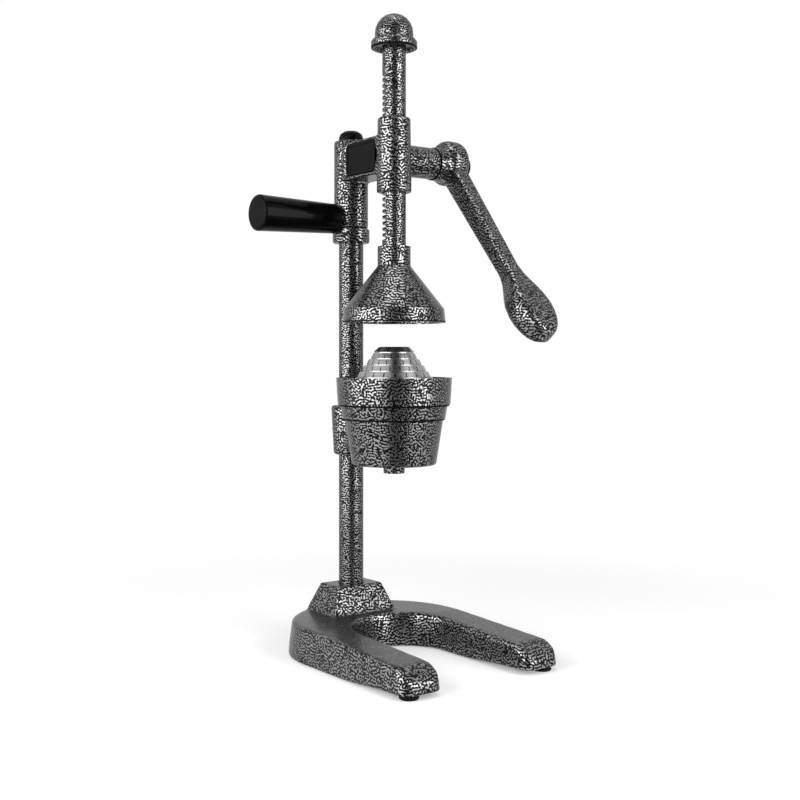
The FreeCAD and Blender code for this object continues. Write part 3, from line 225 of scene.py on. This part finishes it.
class HammerVeins(EffectGroup):
    """The worm-like veins of hammertone enamel: their height and mask."""

    name = "hammer_veins"
    inputs = {"Spacing": 0.0029, "Curl": 2.2, "Level": 0.542, "Edge": 0.052}
    outputs = ("Height", "Vein")
    fine_scale = 3.2
    fine_height = 0.3

    @classmethod
    def draw(cls, board: NodeBoard, source: bpy.types.Node) -> dict[str, bpy.types.NodeSocket]:
        """A narrow band of waves in all directions, cut at a level, with a finer noise on top."""
        place = board.add("TexCoord").outputs["Object"]
        curl, level, edge = (source.outputs[name] for name in ("Curl", "Level", "Edge"))
        per_metre = board.math("DIVIDE", 1.0, source.outputs["Spacing"])
        waves = board.add("TexGabor", {"Vector": place, "Frequency": curl, "Anisotropy": 0.0,
                                       "Scale": board.math("DIVIDE", per_metre, curl)},
                          gabor_type="3D").outputs["Value"]
        vein = board.remap(waves, board.math("SUBTRACT", level, edge),
                           board.math("ADD", level, edge))
        scale = board.math("MULTIPLY", per_metre, cls.fine_scale)
        fine = board.add("TexNoise", {"Vector": place, "Scale": scale, "Detail": 2.0}).outputs[0]
        height = board.math("ADD", vein, board.math("MULTIPLY", fine, cls.fine_height))
        return {"Height": height, "Vein": vein}


class Grain(EffectGroup):
    """A fine uneven grain with slow clouds of wear, for enamelled, moulded and turned pieces."""

    name = "fine_grain"
    inputs = {"Size": 0.0008, "Cloud": 0.03}
    outputs = ("Height", "Wear", "Tone")
    wear_span = (0.42, 0.68)

    @classmethod
    def draw(cls, board: NodeBoard, source: bpy.types.Node) -> dict[str, bpy.types.NodeSocket]:
        """Two noises: one fine for the surface and one slow for wear."""
        place = board.add("TexCoord").outputs["Object"]
        fine_scale = board.math("DIVIDE", 1.0, source.outputs["Size"])
        slow_scale = board.math("DIVIDE", 1.0, source.outputs["Cloud"])
        fine = board.add("TexNoise", {"Vector": place, "Scale": fine_scale,
                                      "Detail": 3.0}).outputs[0]
        slow = board.add("TexNoise", {"Vector": place, "Scale": slow_scale, "Detail": 4.0,
                                      "Roughness": 0.6}).outputs[0]
        return {"Height": fine, "Wear": board.remap(slow, *cls.wear_span), "Tone": slow}


class TurnedRings(EffectGroup):
    """Fine rings round a vertical axis, as lathe or spinning leaves them."""

    name = "turned_rings"
    inputs = {"Axis Y": AXES.rack_y, "Pitch": 0.0006}
    outputs = ("Height", "Tone")
    cloud_scale = 60.0

    @classmethod
    def draw(cls, board: NodeBoard, source: bpy.types.Node) -> dict[str, bpy.types.NodeSocket]:
        """A noise read along the height and the radius only."""
        place = board.add("TexCoord").outputs["Object"]
        across, deep, high = board.add("SeparateXYZ", {0: place}).outputs
        off = board.math("SUBTRACT", deep, source.outputs["Axis Y"])
        square = board.math("ADD", board.math("MULTIPLY", across, across),
                            board.math("MULTIPLY", off, off))
        along = board.math("ADD", high, board.math("SQRT", square))
        vector = board.add("CombineXYZ", {0: along, 1: 0.0, 2: 0.0}).outputs[0]
        scale = board.math("DIVIDE", 1.0, source.outputs["Pitch"])
        rings = board.add("TexNoise", {"Vector": vector, "Scale": scale,
                                       "Detail": 3.0}).outputs[0]
        slow = board.add("TexNoise", {"Vector": place, "Scale": cls.cloud_scale,
                                      "Detail": 3.0}).outputs[0]
        return {"Height": rings, "Tone": board.math("MULTIPLY", rings, slow)}


@dataclass(frozen=True)
class Finish:
    """A material of the juicer: its name and the slot it stands for."""

    name: str
    slot: Slot

    def material(self) -> bpy.types.Material:
        """The material, made on first use.

        Returns:
            The Blender material.
        """
        found = bpy.data.materials.get(self.name)
        if found:
            return found
        made = bpy.data.materials.new(self.name)
        board = board_of(made)
        shader = board.add("BsdfPrincipled")
        board.add("OutputMaterial", {"Surface": shader.outputs[0]})
        self.dress(board, shader)
        return made

    def dress(self, board: NodeBoard, shader: bpy.types.Node) -> None:
        """Set and feed the shader."""
        raise NotImplementedError

    def relief(self, board: NodeBoard, height: bpy.types.NodeSocket,
               depth: float, strength: float = 1.0) -> bpy.types.NodeSocket:
        """The normal of a height whose full depth is given in metres."""
        feeds = {"Height": height, "Distance": depth, "Strength": strength}
        return board.add("Bump", feeds).outputs[0]


@dataclass(frozen=True)
class HammerEnamel(Finish):
    """Charcoal enamel with raised silver veins under a clear gloss."""

    spacing: float = 0.0029
    dark: float = 0.003
    silver: float = 0.24
    spread: float = 0.3
    warmth: float = 0.01
    metal: float = 0.98
    rough: tuple[float, float] = (0.2, 0.3)
    coat: float = 0.3
    coat_rough: float = 0.15
    gloss: float = 0.22
    edge_tint: float = 0.3
    depth: float = 0.00009

    def dress(self, board: NodeBoard, shader: bpy.types.Node) -> None:
        """Veins drive colour, metal, coat and relief, the grain roughness."""
        veins = HammerVeins.place(board, {"Spacing": self.spacing})
        wear = Grain.place(board, {"Size": 0.0006, "Cloud": 0.05})
        vein = veins.outputs["Vein"]
        silver = board.blend(wear.outputs["Tone"], grey(self.silver * (1 - self.spread)),
                             grey(self.silver * (1 + self.spread), self.warmth))
        board.feed(shader, {
            "Base Color": board.blend(vein, grey(self.dark), silver),
            "Metallic": board.math("MULTIPLY", vein, self.metal),
            "Roughness": board.remap(wear.outputs["Height"], *NOISE_SPAN, *self.rough),
            "Coat Weight": board.math("MULTIPLY", vein, self.coat),
            "Coat Roughness": self.coat_rough,
            "Specular IOR Level": self.gloss,
            "Specular Tint": grey(self.edge_tint),
            "Normal": self.relief(board, veins.outputs["Height"], self.depth),
        })


@dataclass(frozen=True)
class Steel(Finish):
    """Bright or plain steel or bronze with turned rings."""

    level: float
    rough: tuple[float, float]
    warm: float = 0.0
    tones: tuple[float, float] = (0.8, 1.15)
    axis_y: float = AXES.rack_y
    depth: float = 0.00003
    strength: float = 0.6

    def dress(self, board: NodeBoard, shader: bpy.types.Node) -> None:
        """Rings drive roughness and a faint relief, wear the tone."""
        rings = TurnedRings.place(board, {"Axis Y": self.axis_y})
        wear = Grain.place(board, {"Size": 0.002, "Cloud": 0.02})
        dark, light = (grey(self.level * tone, self.warm) for tone in self.tones)
        board.feed(shader, {
            "Base Color": board.blend(wear.outputs["Tone"], dark, light),
            "Metallic": 1.0,
            "Roughness": board.remap(rings.outputs["Tone"], *RING_SPAN, *self.rough),
            "Normal": self.relief(board, rings.outputs["Height"], self.depth, self.strength),
        })


@dataclass(frozen=True)
class Plastic(Finish):
    """Black moulded plastic or rubber, from matt to gloss."""

    level: float
    rough: tuple[float, float]
    shine: float
    tones: tuple[float, float] = (0.8, 1.5)
    coat: float = 0.0
    coat_rough: float = 0.06
    size: float = 0.0007
    depth: float = 0.00004

    def dress(self, board: NodeBoard, shader: bpy.types.Node) -> None:
        """The grain drives tone, roughness and relief."""
        grain = Grain.place(board, {"Size": self.size, "Cloud": 0.03})
        dark, light = (grey(self.level * tone) for tone in self.tones)
        board.feed(shader, {
            "Base Color": board.blend(grain.outputs["Wear"], dark, light),
            "Roughness": board.remap(grain.outputs["Tone"], *NOISE_SPAN, *self.rough),
            "Specular IOR Level": self.shine,
            "Coat Weight": self.coat,
            "Coat Roughness": self.coat_rough,
            "Normal": self.relief(board, grain.outputs["Height"], self.depth),
        })


ENAMEL = HammerEnamel("charcoal_hammer_enamel", Slot.HAMMERTONE)
FINE_ENAMEL = HammerEnamel("fine_hammer_enamel", Slot.HAMMERTONE,
                           spacing=0.0024, silver=0.215, depth=0.00006)
STRAINER_STEEL = Steel("bright_pressed_steel", Slot.POLISHED, level=0.32, rough=(0.22, 0.36))
PLAIN_STEEL = Steel("plain_steel", Slot.STEEL, level=0.42, rough=(0.25, 0.45))
BUSH_BRONZE = Steel("bush_bronze", Slot.BRONZE, level=0.4, rough=(0.25, 0.4), warm=0.35)
RUBBER = Plastic("foot_rubber", Slot.RUBBER, level=0.003, rough=(0.5, 0.7), shine=0.08,
                 depth=0.00008)
SATIN_BLACK = Plastic("satin_black_plastic", Slot.PLASTIC, level=0.002, rough=(0.34, 0.46),
                      shine=0.05)
GRIP_GLOSS = Plastic("glossy_black_grip", Slot.GRIP, level=0.0015, rough=(0.1, 0.2), shine=0.04,
                     coat=0.02, depth=0.00001)
# Painted shade: a dark enamel without veins, for the thin rings that stand in for the shade in
# joints and under overhangs.
PAINTED_SHADE_DARK = Plastic("painted_shade_line_enamel", Slot.HAMMERTONE, level=0.002, rough=(0.5, 0.7), shine=0.05)
NODE_FINISHES = {
    Slot.HAMMERTONE: ENAMEL,
    Slot.RUBBER: RUBBER,
    Slot.STEEL: PLAIN_STEEL,
    Slot.BRONZE: BUSH_BRONZE,
    Slot.POLISHED: STRAINER_STEEL,
    Slot.PLASTIC: SATIN_BLACK,
    Slot.GRIP: GRIP_GLOSS,
}


def hang(piece: bpy.types.Object, rides: Rides, finish: Finish,
         stands_for: tuple[str, ...] = ()) -> None:
    """Give a piece its finish and body.

    Args:
        piece: the new object, in place in the frame.
        rides: the body that it moves with.
        finish: its material.
        stands_for: the solids that it replaces.
    """
    piece.data.materials.clear()
    piece.data.materials.append(finish.material())
    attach(piece, rides.value)
    if stands_for:
        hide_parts(*stands_for)
    LOG.info("%s: %d faces, rides on %s", piece.name, len(piece.data.polygons), rides.value)


def new_piece(name: str, mesh: bpy.types.Mesh) -> bpy.types.Object:
    """An object of a mesh, linked to the scene."""
    piece = bpy.data.objects.new(name, mesh)
    bpy.context.scene.collection.objects.link(piece)
    return piece


def piece_of(name: str, shape: bmesh.types.BMesh) -> bpy.types.Object:
    """An object of a shape, which is freed."""
    mesh = bpy.data.meshes.new(name)
    shape.to_mesh(mesh)
    shape.free()
    return new_piece(name, mesh)


def bridge(shape: bmesh.types.BMesh, one: list[bmesh.types.BMVert],
           other: list[bmesh.types.BMVert], closed: bool = True,
           gaps: Collection[int] = ()) -> None:
    """Fill the band between two rows of points with four-sided faces.

    Args:
        shape: the shape that holds the points.
        one: the first row.
        other: the second row, as long as the first.
        closed: whether the last point joins the first.
        gaps: the places that stay open.
    """
    for index in range(len(one) if closed else len(one) - 1):
        if index not in gaps:
            after = (index + 1) % len(one)
            shape.faces.new((one[index], other[index], other[after], one[after]))


def smooth(piece: bpy.types.Object, sharp_from: float = 180.0) -> None:
    """Shade a piece smooth, but for edges from an angle in degrees on."""
    piece.data.shade_smooth()
    if sharp_from < 180.0:
        piece.data.set_sharp_from_angle(angle=math.radians(sharp_from))


def settled(piece: bpy.types.Object) -> None:
    """Apply every modifier of a piece to its mesh."""
    graph = bpy.context.evaluated_depsgraph_get()
    mesh = bpy.data.meshes.new_from_object(piece.evaluated_get(graph))
    old = piece.data
    piece.modifiers.clear()
    piece.data = mesh
    bpy.data.meshes.remove(old)


@dataclass
class Casting:
    """A sand-cast piece: the solid's form with its edges softened all round."""

    node: str
    rides: Rides
    grain: float
    passes: int
    crisp_below: float = -math.inf
    crisp_above: float = math.inf
    crispness: float = 0.2

    def weigh(self, piece: bpy.types.Object) -> str:
        """Mark how much each point softens: less below and above the crisp heights.

        Args:
            piece: the remeshed piece.

        Returns:
            The name of the vertex group.
        """
        group = piece.vertex_groups.new(name="softness")
        soft, crisp = [], []
        for point in piece.data.vertices:
            inside = self.crisp_below < point.co.z < self.crisp_above
            (soft if inside else crisp).append(point.index)
        group.add(soft, 1.0, "REPLACE")
        if crisp:
            group.add(crisp, self.crispness, "REPLACE")
        return group.name

    def shape(self, piece: bpy.types.Object) -> None:
        """Leave the softened form as it is; a piece with a form of its own adds to it."""

    def build(self, nodes: dict[str, bpy.types.Object]) -> None:
        """Remesh a copy of the solid finely and soften it.

        Args:
            nodes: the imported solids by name.
        """
        piece = new_piece(f"{self.node}_cast", nodes[self.node].data.copy())
        remesh = piece.modifiers.new("skin", "REMESH")
        remesh.mode = "VOXEL"
        remesh.voxel_size = self.grain
        settled(piece)
        soften = piece.modifiers.new("soften", "SMOOTH")
        soften.factor = SMOOTHING
        soften.iterations = self.passes
        soften.vertex_group = self.weigh(piece)
        settled(piece)
        piece.vertex_groups.clear()
        self.shape(piece)
        smooth(piece)
        hang(piece, self.rides, ENAMEL, (self.node,))


@dataclass
class LeverCasting(Casting):
    """The lever: its paddle is fuller than the plain solid's, on the lower side most."""

    lean: float = 39.6
    neck: float = 0.158
    full: float = 0.2
    fuller: float = 1.32
    drop: float = 0.0018
    inward: float = 0.0008
    slant: float = 0.003

    def shape(self, piece: bpy.types.Object) -> None:
        """Thicken the paddle from the neck on, and slant the arm towards the column."""
        angle = math.radians(self.lean)
        hub = Vector((0.0, AXES.pinion_y, AXES.pinion_z))
        along = Vector((0.0, -math.sin(angle), -math.cos(angle)))
        across = Vector((0.0, -math.cos(angle), math.sin(angle)))
        for point in piece.data.vertices:
            reach = (point.co - hub).dot(along)
            off = (point.co - hub).dot(across)
            share = ease(reach, self.neck, self.full)
            point.co += across * (share * (off * (self.fuller - 1) - self.drop))
            point.co.x -= share * self.inward + ramp(reach, 0.0, self.neck) * self.slant


@dataclass
class BaseCasting(Casting):
    """The horseshoe base: its walls reach nearly to the floor behind the legs' tips."""

    wall_top: float = 0.014
    wall_foot: float = 0.006
    raised_y: float = -0.112
    low_y: float = -0.03
    reach: float = 0.0042

    def shape(self, piece: bpy.types.Object) -> None:
        """Draw the lower edge down, from the tips towards the rear."""
        for point in piece.data.vertices:
            near = ramp(point.co.z, self.wall_top, self.wall_foot)
            point.co.z -= near * ease(point.co.y, self.raised_y, self.low_y) * self.reach


@dataclass
class ShadeLine:
    """A fine round ring of dark enamel, as painted shade: it stands for the shade in the joint or
    under the overhang where two enamelled pieces meet.
    """

    name: str
    rides: Rides
    centre: tuple[float, float, float]
    radius: float
    wire: float
    upright: bool = True
    turns: int = 160
    sides: int = 10

    def section(self, turn: float) -> list[Vector]:
        """The points of the ring's round section at an angle about its axis."""
        points = []
        for side in range(self.sides):
            lean = 2 * math.pi * side / self.sides
            reach = self.radius + self.wire * math.cos(lean)
            rise = self.wire * math.sin(lean)
            flat = (reach * math.cos(turn), reach * math.sin(turn))
            points.append(Vector(self.centre) + Vector((*flat, rise) if self.upright
                                                       else (rise, *flat)))
        return points

    def build(self) -> None:
        """Sweep the section about the axis."""
        shape = bmesh.new()
        rings = [[shape.verts.new(spot) for spot in self.section(2 * math.pi * step / self.turns)]
                 for step in range(self.turns)]
        for one, other in zip(rings, rings[1:] + rings[:1]):
            bridge(shape, one, other)
        bmesh.ops.recalc_face_normals(shape, faces=shape.faces)
        piece = piece_of(self.name, shape)
        smooth(piece)
        # The ring's dark finish is painted shade, not a colour of the enamel.
        hang(piece, self.rides, PAINTED_SHADE_DARK)


@dataclass
class SidePlate:
    """The black side plate: a thin raised border round a sunk field, with rounded corners."""

    outer_x: float = -0.0175
    centre: tuple[float, float] = (0.0515, 0.527)
    half_length: float = 0.0268
    half_height: float = 0.017
    corner: float = 0.0058
    least_corner: float = 0.0015
    corner_steps: int = 8
    thickness: float = 0.0029
    round_edge: float = 0.0006
    bevel: float = 0.0002
    border: float = 0.0024
    sunk: float = 0.001
    sharp_from: float = 40.0

    def outline(self, inset: float, depth: float) -> list[tuple[float, float, float]]:
        """A rounded rectangle in from the edge, at a depth behind the outer face."""
        corner = max(self.corner - inset, self.least_corner)
        flat_y = self.half_length - inset - corner
        flat_z = self.half_height - inset - corner
        points = []
        for quarter, (side_y, side_z) in enumerate(((1, 1), (-1, 1), (-1, -1), (1, -1))):
            for step in range(self.corner_steps + 1):
                turn = math.radians(90 * quarter + 90 * step / self.corner_steps)
                points.append((self.outer_x + depth,
                               self.centre[0] + side_y * flat_y + corner * math.cos(turn),
                               self.centre[1] + side_z * flat_z + corner * math.sin(turn)))
        return points

    def build(self) -> None:
        """Stack the outlines from the back edge to the middle of the field."""
        shape = bmesh.new()
        steps = ((0.0, self.thickness), (0.0, self.round_edge), (self.bevel, self.bevel),
                 (self.round_edge, 0.0), (self.border, 0.0),
                 (self.border + 2 * self.bevel, self.bevel),
                 (self.border + self.sunk, self.sunk), (self.border + 2 * self.sunk, self.sunk))
        rings = [[shape.verts.new(spot) for spot in self.outline(*step)] for step in steps]
        for one, other in zip(rings, rings[1:]):
            bridge(shape, one, other)
        shape.faces.new(rings[-1])
        shape.faces.new(list(reversed(rings[0])))
        bmesh.ops.recalc_face_normals(shape, faces=shape.faces)
        piece = piece_of("side_plate_panel", shape)
        smooth(piece, self.sharp_from)
        hang(piece, Rides.STAND, SATIN_BLACK, ("side_plate",))


@dataclass
class Strainer:
    """The pressed strainer: a stepped cone with upright slots in each course."""

    top_z: float = 0.3246
    top_radius: float = 0.0168
    top_inset: float = 0.001
    top_drop: float = 0.0006
    waist_z: float = 0.2923
    waist_radius: float = 0.0405
    foot_z: float = 0.2705
    foot_radius: float = 0.0460
    flange_radius: float = 0.0545
    crown: float = 0.0065
    course: float = 0.00645
    plate_slope: float = 0.5
    groove_height: float = 0.0012
    groove_depth: float = 0.001
    groove_lip: float = 0.0002
    groove_toe: float = 0.0001
    slot_span: tuple[float, float] = (0.18, 0.8)
    wall: float = 0.0011
    segments: int = 200
    slot_share: int = 10
    sharp_from: float = 25.0

    def radius_at(self, height: float) -> float:
        """The cone's radius at a height."""
        if height >= self.waist_z:
            share = (self.top_z - height) / (self.top_z - self.waist_z)
            return self.top_radius + share * (self.waist_radius - self.top_radius)
        share = (self.waist_z - height) / (self.waist_z - self.foot_z)
        return self.waist_radius + share * (self.foot_radius - self.waist_radius)

    def groove(self, radius: float, height: float) -> list[tuple[float, float, int]]:
        """The rings of the groove at the foot of a course."""
        top = height + self.groove_height
        inside = radius - self.groove_depth
        return [(radius, top, 0), (inside, top - self.groove_lip, 0),
                (inside, height + self.groove_toe, 0)]

    def stations(self) -> list[tuple[float, float, int]]:
        """The rings from the top down.

        Returns:
            Radius and height of each, and the number of its course where slots end in it, or 0.
        """
        rows = [(self.top_radius - self.top_inset, self.top_z, 0),
                (self.top_radius, self.top_z - self.top_drop, 0)]
        low = self.top_z - self.crown
        rows += self.groove(self.radius_at(low), low)
        number = 0
        while low - self.course > self.foot_z:
            high, low = low, low - self.course
            number += 1
            upper = self.radius_at(high)
            lower = min(upper + self.plate_slope * self.course, self.radius_at(low))
            rows.append((upper, high, 0))
            for share, mark in zip(self.slot_span, (0, number)):
                rows.append((upper + share * (lower - upper), high + share * (low - high), mark))
            rows += self.groove(lower, low)
        return [*rows, (self.foot_radius, self.foot_z, 0), (self.flange_radius, self.foot_z, 0)]

    def slots(self, number: int) -> set[int]:
        """The open places of a course; each second course has them half a step on."""
        shift = self.slot_share // 2 if number % 2 else 0
        return {index for index in range(self.segments) if (index + shift) % self.slot_share == 0}

    def build(self) -> None:
        """Lay the rings, leave the slots open and give the skin its thickness."""
        shape = bmesh.new()
        rows = self.stations()
        turns = [2 * math.pi * index / self.segments for index in range(self.segments)]
        rings = [[shape.verts.new((radius * math.cos(turn),
                                   AXES.rack_y + radius * math.sin(turn), height))
                  for turn in turns] for radius, height, _ in rows]
        shape.faces.new(rings[0])
        for above, below, (_, _, number) in zip(rings, rings[1:], rows[1:]):
            bridge(shape, above, below, gaps=self.slots(number) if number else ())
        piece = piece_of("strainer_slotted", shape)
        skin = piece.modifiers.new("wall", "SOLIDIFY")
        skin.thickness = self.wall
        skin.offset = -1.0
        settled(piece)
        smooth(piece, self.sharp_from)
        hang(piece, Rides.STAND, STRAINER_STEEL, ("strainer_cone",))


@dataclass(frozen=True)
class SoftBox:
    """A lamp: its angle from the camera's side in degrees, place, size in metres and watts."""

    name: str
    angle: float
    distance: float
    height: float
    width: float
    tall: float
    power: float


@dataclass
class Studio:
    """Floor, lamps, world, dark screen and camera."""

    floor_radius: float = 6.0
    floor_segments: int = 96
    floor_white: float = 0.8
    glow: float = 0.27
    fade: tuple[float, float] = (0.3, 0.75)
    world_level: float = 0.25
    lens: float = 53.55
    sensor: float = 36.0
    shift: float = -0.05625
    eye: tuple[float, float, float] = (-0.7488, -0.9905, 0.316)
    yaw: float = -37.0
    aim: tuple[float, float, float] = (0.0, 0.02, 0.33)
    flag_span: tuple[int, int] = (-16, 41)
    flag_step: int = 4
    flag_profile: tuple[tuple[float, float], ...] = ((0.22, 0.003), (1.4, 0.003),
                                                     (1.45, 1.6), (0.6, 2.2))
    flag_paint: float = 0.02
    lamps: tuple[SoftBox, ...] = (
        SoftBox("left_box", -58.0, 1.3, 0.45, 1.9, 1.4, 34.0),
        SoftBox("right_box", 54.0, 1.3, 0.5, 0.95, 1.5, 22.0),
        SoftBox("top_box", 0.0, 0.1, 1.9, 1.0, 1.0, 8.0),
    )

    def white_for_eye(self, board: NodeBoard, plain: bpy.types.Node,
                      white: bpy.types.Node) -> bpy.types.NodeSocket:
        """White for the rays that see the background, and the plain shader for light itself."""
        path = board.add("LightPath")
        seen = board.math("MAXIMUM", path.outputs["Is Camera Ray"], path.outputs["Is Glossy Ray"])
        mask = board.math("MAXIMUM", seen, path.outputs["Is Transmission Ray"])
        feeds = {0: mask, 1: plain.outputs[0], 2: white.outputs[0]}
        return board.add("MixShader", feeds).outputs[0]

    def floor(self) -> None:
        """A round pale floor that keeps the shadow and fades to plain white."""
        shape = bmesh.new()
        bmesh.ops.create_circle(shape, cap_ends=True, segments=self.floor_segments,
                                radius=self.floor_radius)
        floor = piece_of("floor", shape)
        material = bpy.data.materials.new("pale_floor")
        board = board_of(material)
        paint = board.add("BsdfDiffuse", {"Color": grey(self.floor_white)})
        glow = board.add("Emission", {"Color": grey(1.0), "Strength": self.glow})
        both = board.add("AddShader", {0: paint.outputs[0], 1: glow.outputs[0]})
        white = board.add("Emission", {"Color": grey(1.0), "Strength": 1.0})
        away = board.add("VectorMath", {0: board.add("TexCoord").outputs["Object"]},
                         operation="LENGTH")
        far = board.remap(away.outputs["Value"], *self.fade)
        near = board.add("MixShader", {0: far, 1: both.outputs[0], 2: white.outputs[0]})
        board.add("OutputMaterial", {"Surface": self.white_for_eye(board, paint, near)})
        floor.data.materials.append(material)

    def world(self) -> None:
        """A plain grey world that the eye sees as white."""
        world = bpy.data.worlds.new("plain_world")
        bpy.context.scene.world = world
        board = board_of(world)
        plain = board.add("Background", {"Color": grey(1.0), "Strength": self.world_level})
        white = board.add("Background", {"Color": grey(1.0), "Strength": 1.0})
        board.add("OutputWorld", {"Surface": self.white_for_eye(board, plain, white)})

    def light(self) -> None:
        """Soft boxes at their angles from the camera's side of the juicer."""
        turn = math.radians(self.yaw)
        back = Vector((math.sin(turn), -math.cos(turn), 0.0))
        right = Vector((math.cos(turn), math.sin(turn), 0.0))
        for box in self.lamps:
            side = math.radians(box.angle)
            spot = (back * math.cos(side) + right * math.sin(side)) * box.distance
            spot.z = box.height
            data = bpy.data.lights.new(box.name, "AREA")
            data.shape = "RECTANGLE"
            data.size, data.size_y = box.width, box.tall
            data.energy = box.power
            lamp = bpy.data.objects.new(box.name, data)
            lamp.location = spot
            lamp.rotation_euler = (Vector(self.aim) - spot).to_track_quat("-Z", "Y").to_euler()
            bpy.context.scene.collection.objects.link(lamp)

    def flag(self) -> None:
        """A dark curved screen behind the camera, which only reflections see."""
        shape = bmesh.new()
        edges = []
        for angle in range(*self.flag_span, self.flag_step):
            side = math.radians(angle) + math.radians(self.yaw)
            edges.append([shape.verts.new((math.sin(side) * away, -math.cos(side) * away, level))
                          for away, level in self.flag_profile])
        for one, other in zip(edges, edges[1:]):
            bridge(shape, one, other, closed=False)
        screen = piece_of("flag", shape)
        for kind in ("camera", "diffuse", "transmission", "shadow"):
            setattr(screen, f"visible_{kind}", False)
        material = bpy.data.materials.new("dark_flag")
        board = board_of(material)
        paint = board.add("BsdfDiffuse", {"Color": grey(self.flag_paint)})
        board.add("OutputMaterial", {"Surface": paint.outputs[0]})
        screen.data.materials.append(material)

    def camera(self) -> None:
        """The camera at the photograph's angle."""
        data = bpy.data.cameras.new("view")
        data.lens = self.lens
        data.sensor_width = self.sensor
        data.shift_y = self.shift
        camera = bpy.data.objects.new("view", data)
        camera.location = self.eye
        camera.rotation_euler = (math.radians(90), 0.0, math.radians(self.yaw))
        bpy.context.scene.collection.objects.link(camera)
        bpy.context.scene.camera = camera

    def build(self) -> None:
        """Make the whole studio."""
        self.floor()
        self.world()
        self.light()
        self.flag()
        self.camera()
        bpy.context.scene.view_settings.view_transform = "Standard"


@dataclass
class Juicer:
    """The whole juicer: its new pieces and the solids that stay as they are."""

    castings: list[Casting] = field(default_factory=lambda: [
        BaseCasting("base_casting", Rides.STAND, grain=0.0014, passes=24,
                    crisp_below=0.014, crisp_above=0.038),
        Casting("head_casting", Rides.STAND, grain=0.0011, passes=5),
        Casting("cup_holder", Rides.STAND, grain=0.0011, passes=4),
        LeverCasting("lever", Rides.LEVER, grain=0.001, passes=30,
                     crisp_above=0.385, crispness=0.1),
    ])
    # Dark rings of painted shade, where shade falls in the joints and under the overhangs of the
    # cup rim, holder ring, lever hub, bell lip and knob flange.
    shade_lines: list[ShadeLine] = field(default_factory=lambda: [
        ShadeLine("cup_seat_shade_line", Rides.STAND, (0.0, AXES.rack_y, 0.2636), 0.0574, 0.0011),
        ShadeLine("holder_ring_shade_line", Rides.STAND, (0.0, AXES.rack_y, 0.2487), 0.0527, 0.0008),
        ShadeLine("lever_hub_shade_line", Rides.STAND, (0.0708, AXES.pinion_y, AXES.pinion_z),
             0.0171, 0.001, upright=False),
        ShadeLine("bell_lip_shade_line", Rides.RACK, (0.0, AXES.rack_y, 0.3509), 0.0533, 0.0011),
        ShadeLine("knob_flange_shade_line", Rides.RACK, (0.0, AXES.rack_y, 0.6392), 0.0233, 0.0011),
    ])
    plate: SidePlate = field(default_factory=SidePlate)
    strainer: Strainer = field(default_factory=Strainer)
    fine_nodes: tuple[str, ...] = ("rack_rod", "column_tube", "top_knob")

    def finish_solids(self, nodes: dict[str, bpy.types.Object]) -> None:
        """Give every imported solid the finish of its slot.

        Args:
            nodes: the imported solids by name.
        """
        for name, node in sorted(nodes.items()):
            named = node.material_slots[0].material.name.split(".")[0]
            finish = FINE_ENAMEL if name in self.fine_nodes else NODE_FINISHES[Slot(named)]
            node.material_slots[0].material = finish.material()
            LOG.info("%s: finish %s", name, named)

    def build(self, nodes: dict[str, bpy.types.Object]) -> None:
        """Make the new pieces, then dress the solids that still show.

        Args:
            nodes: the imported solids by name.
        """
        for casting in self.castings:
            casting.build(nodes)
        for shade_line in self.shade_lines:
            shade_line.build()
        self.plate.build()
        self.strainer.build()
        self.finish_solids(nodes)


def main() -> None:
    """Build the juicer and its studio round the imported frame."""
    logging.basicConfig(level=logging.INFO, format="%(name)s %(message)s")
    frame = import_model()
    Juicer().build(frame["nodes"])
    Studio().build()
    bpy.context.view_layer.update()


if __name__ == "__main__":
    main()
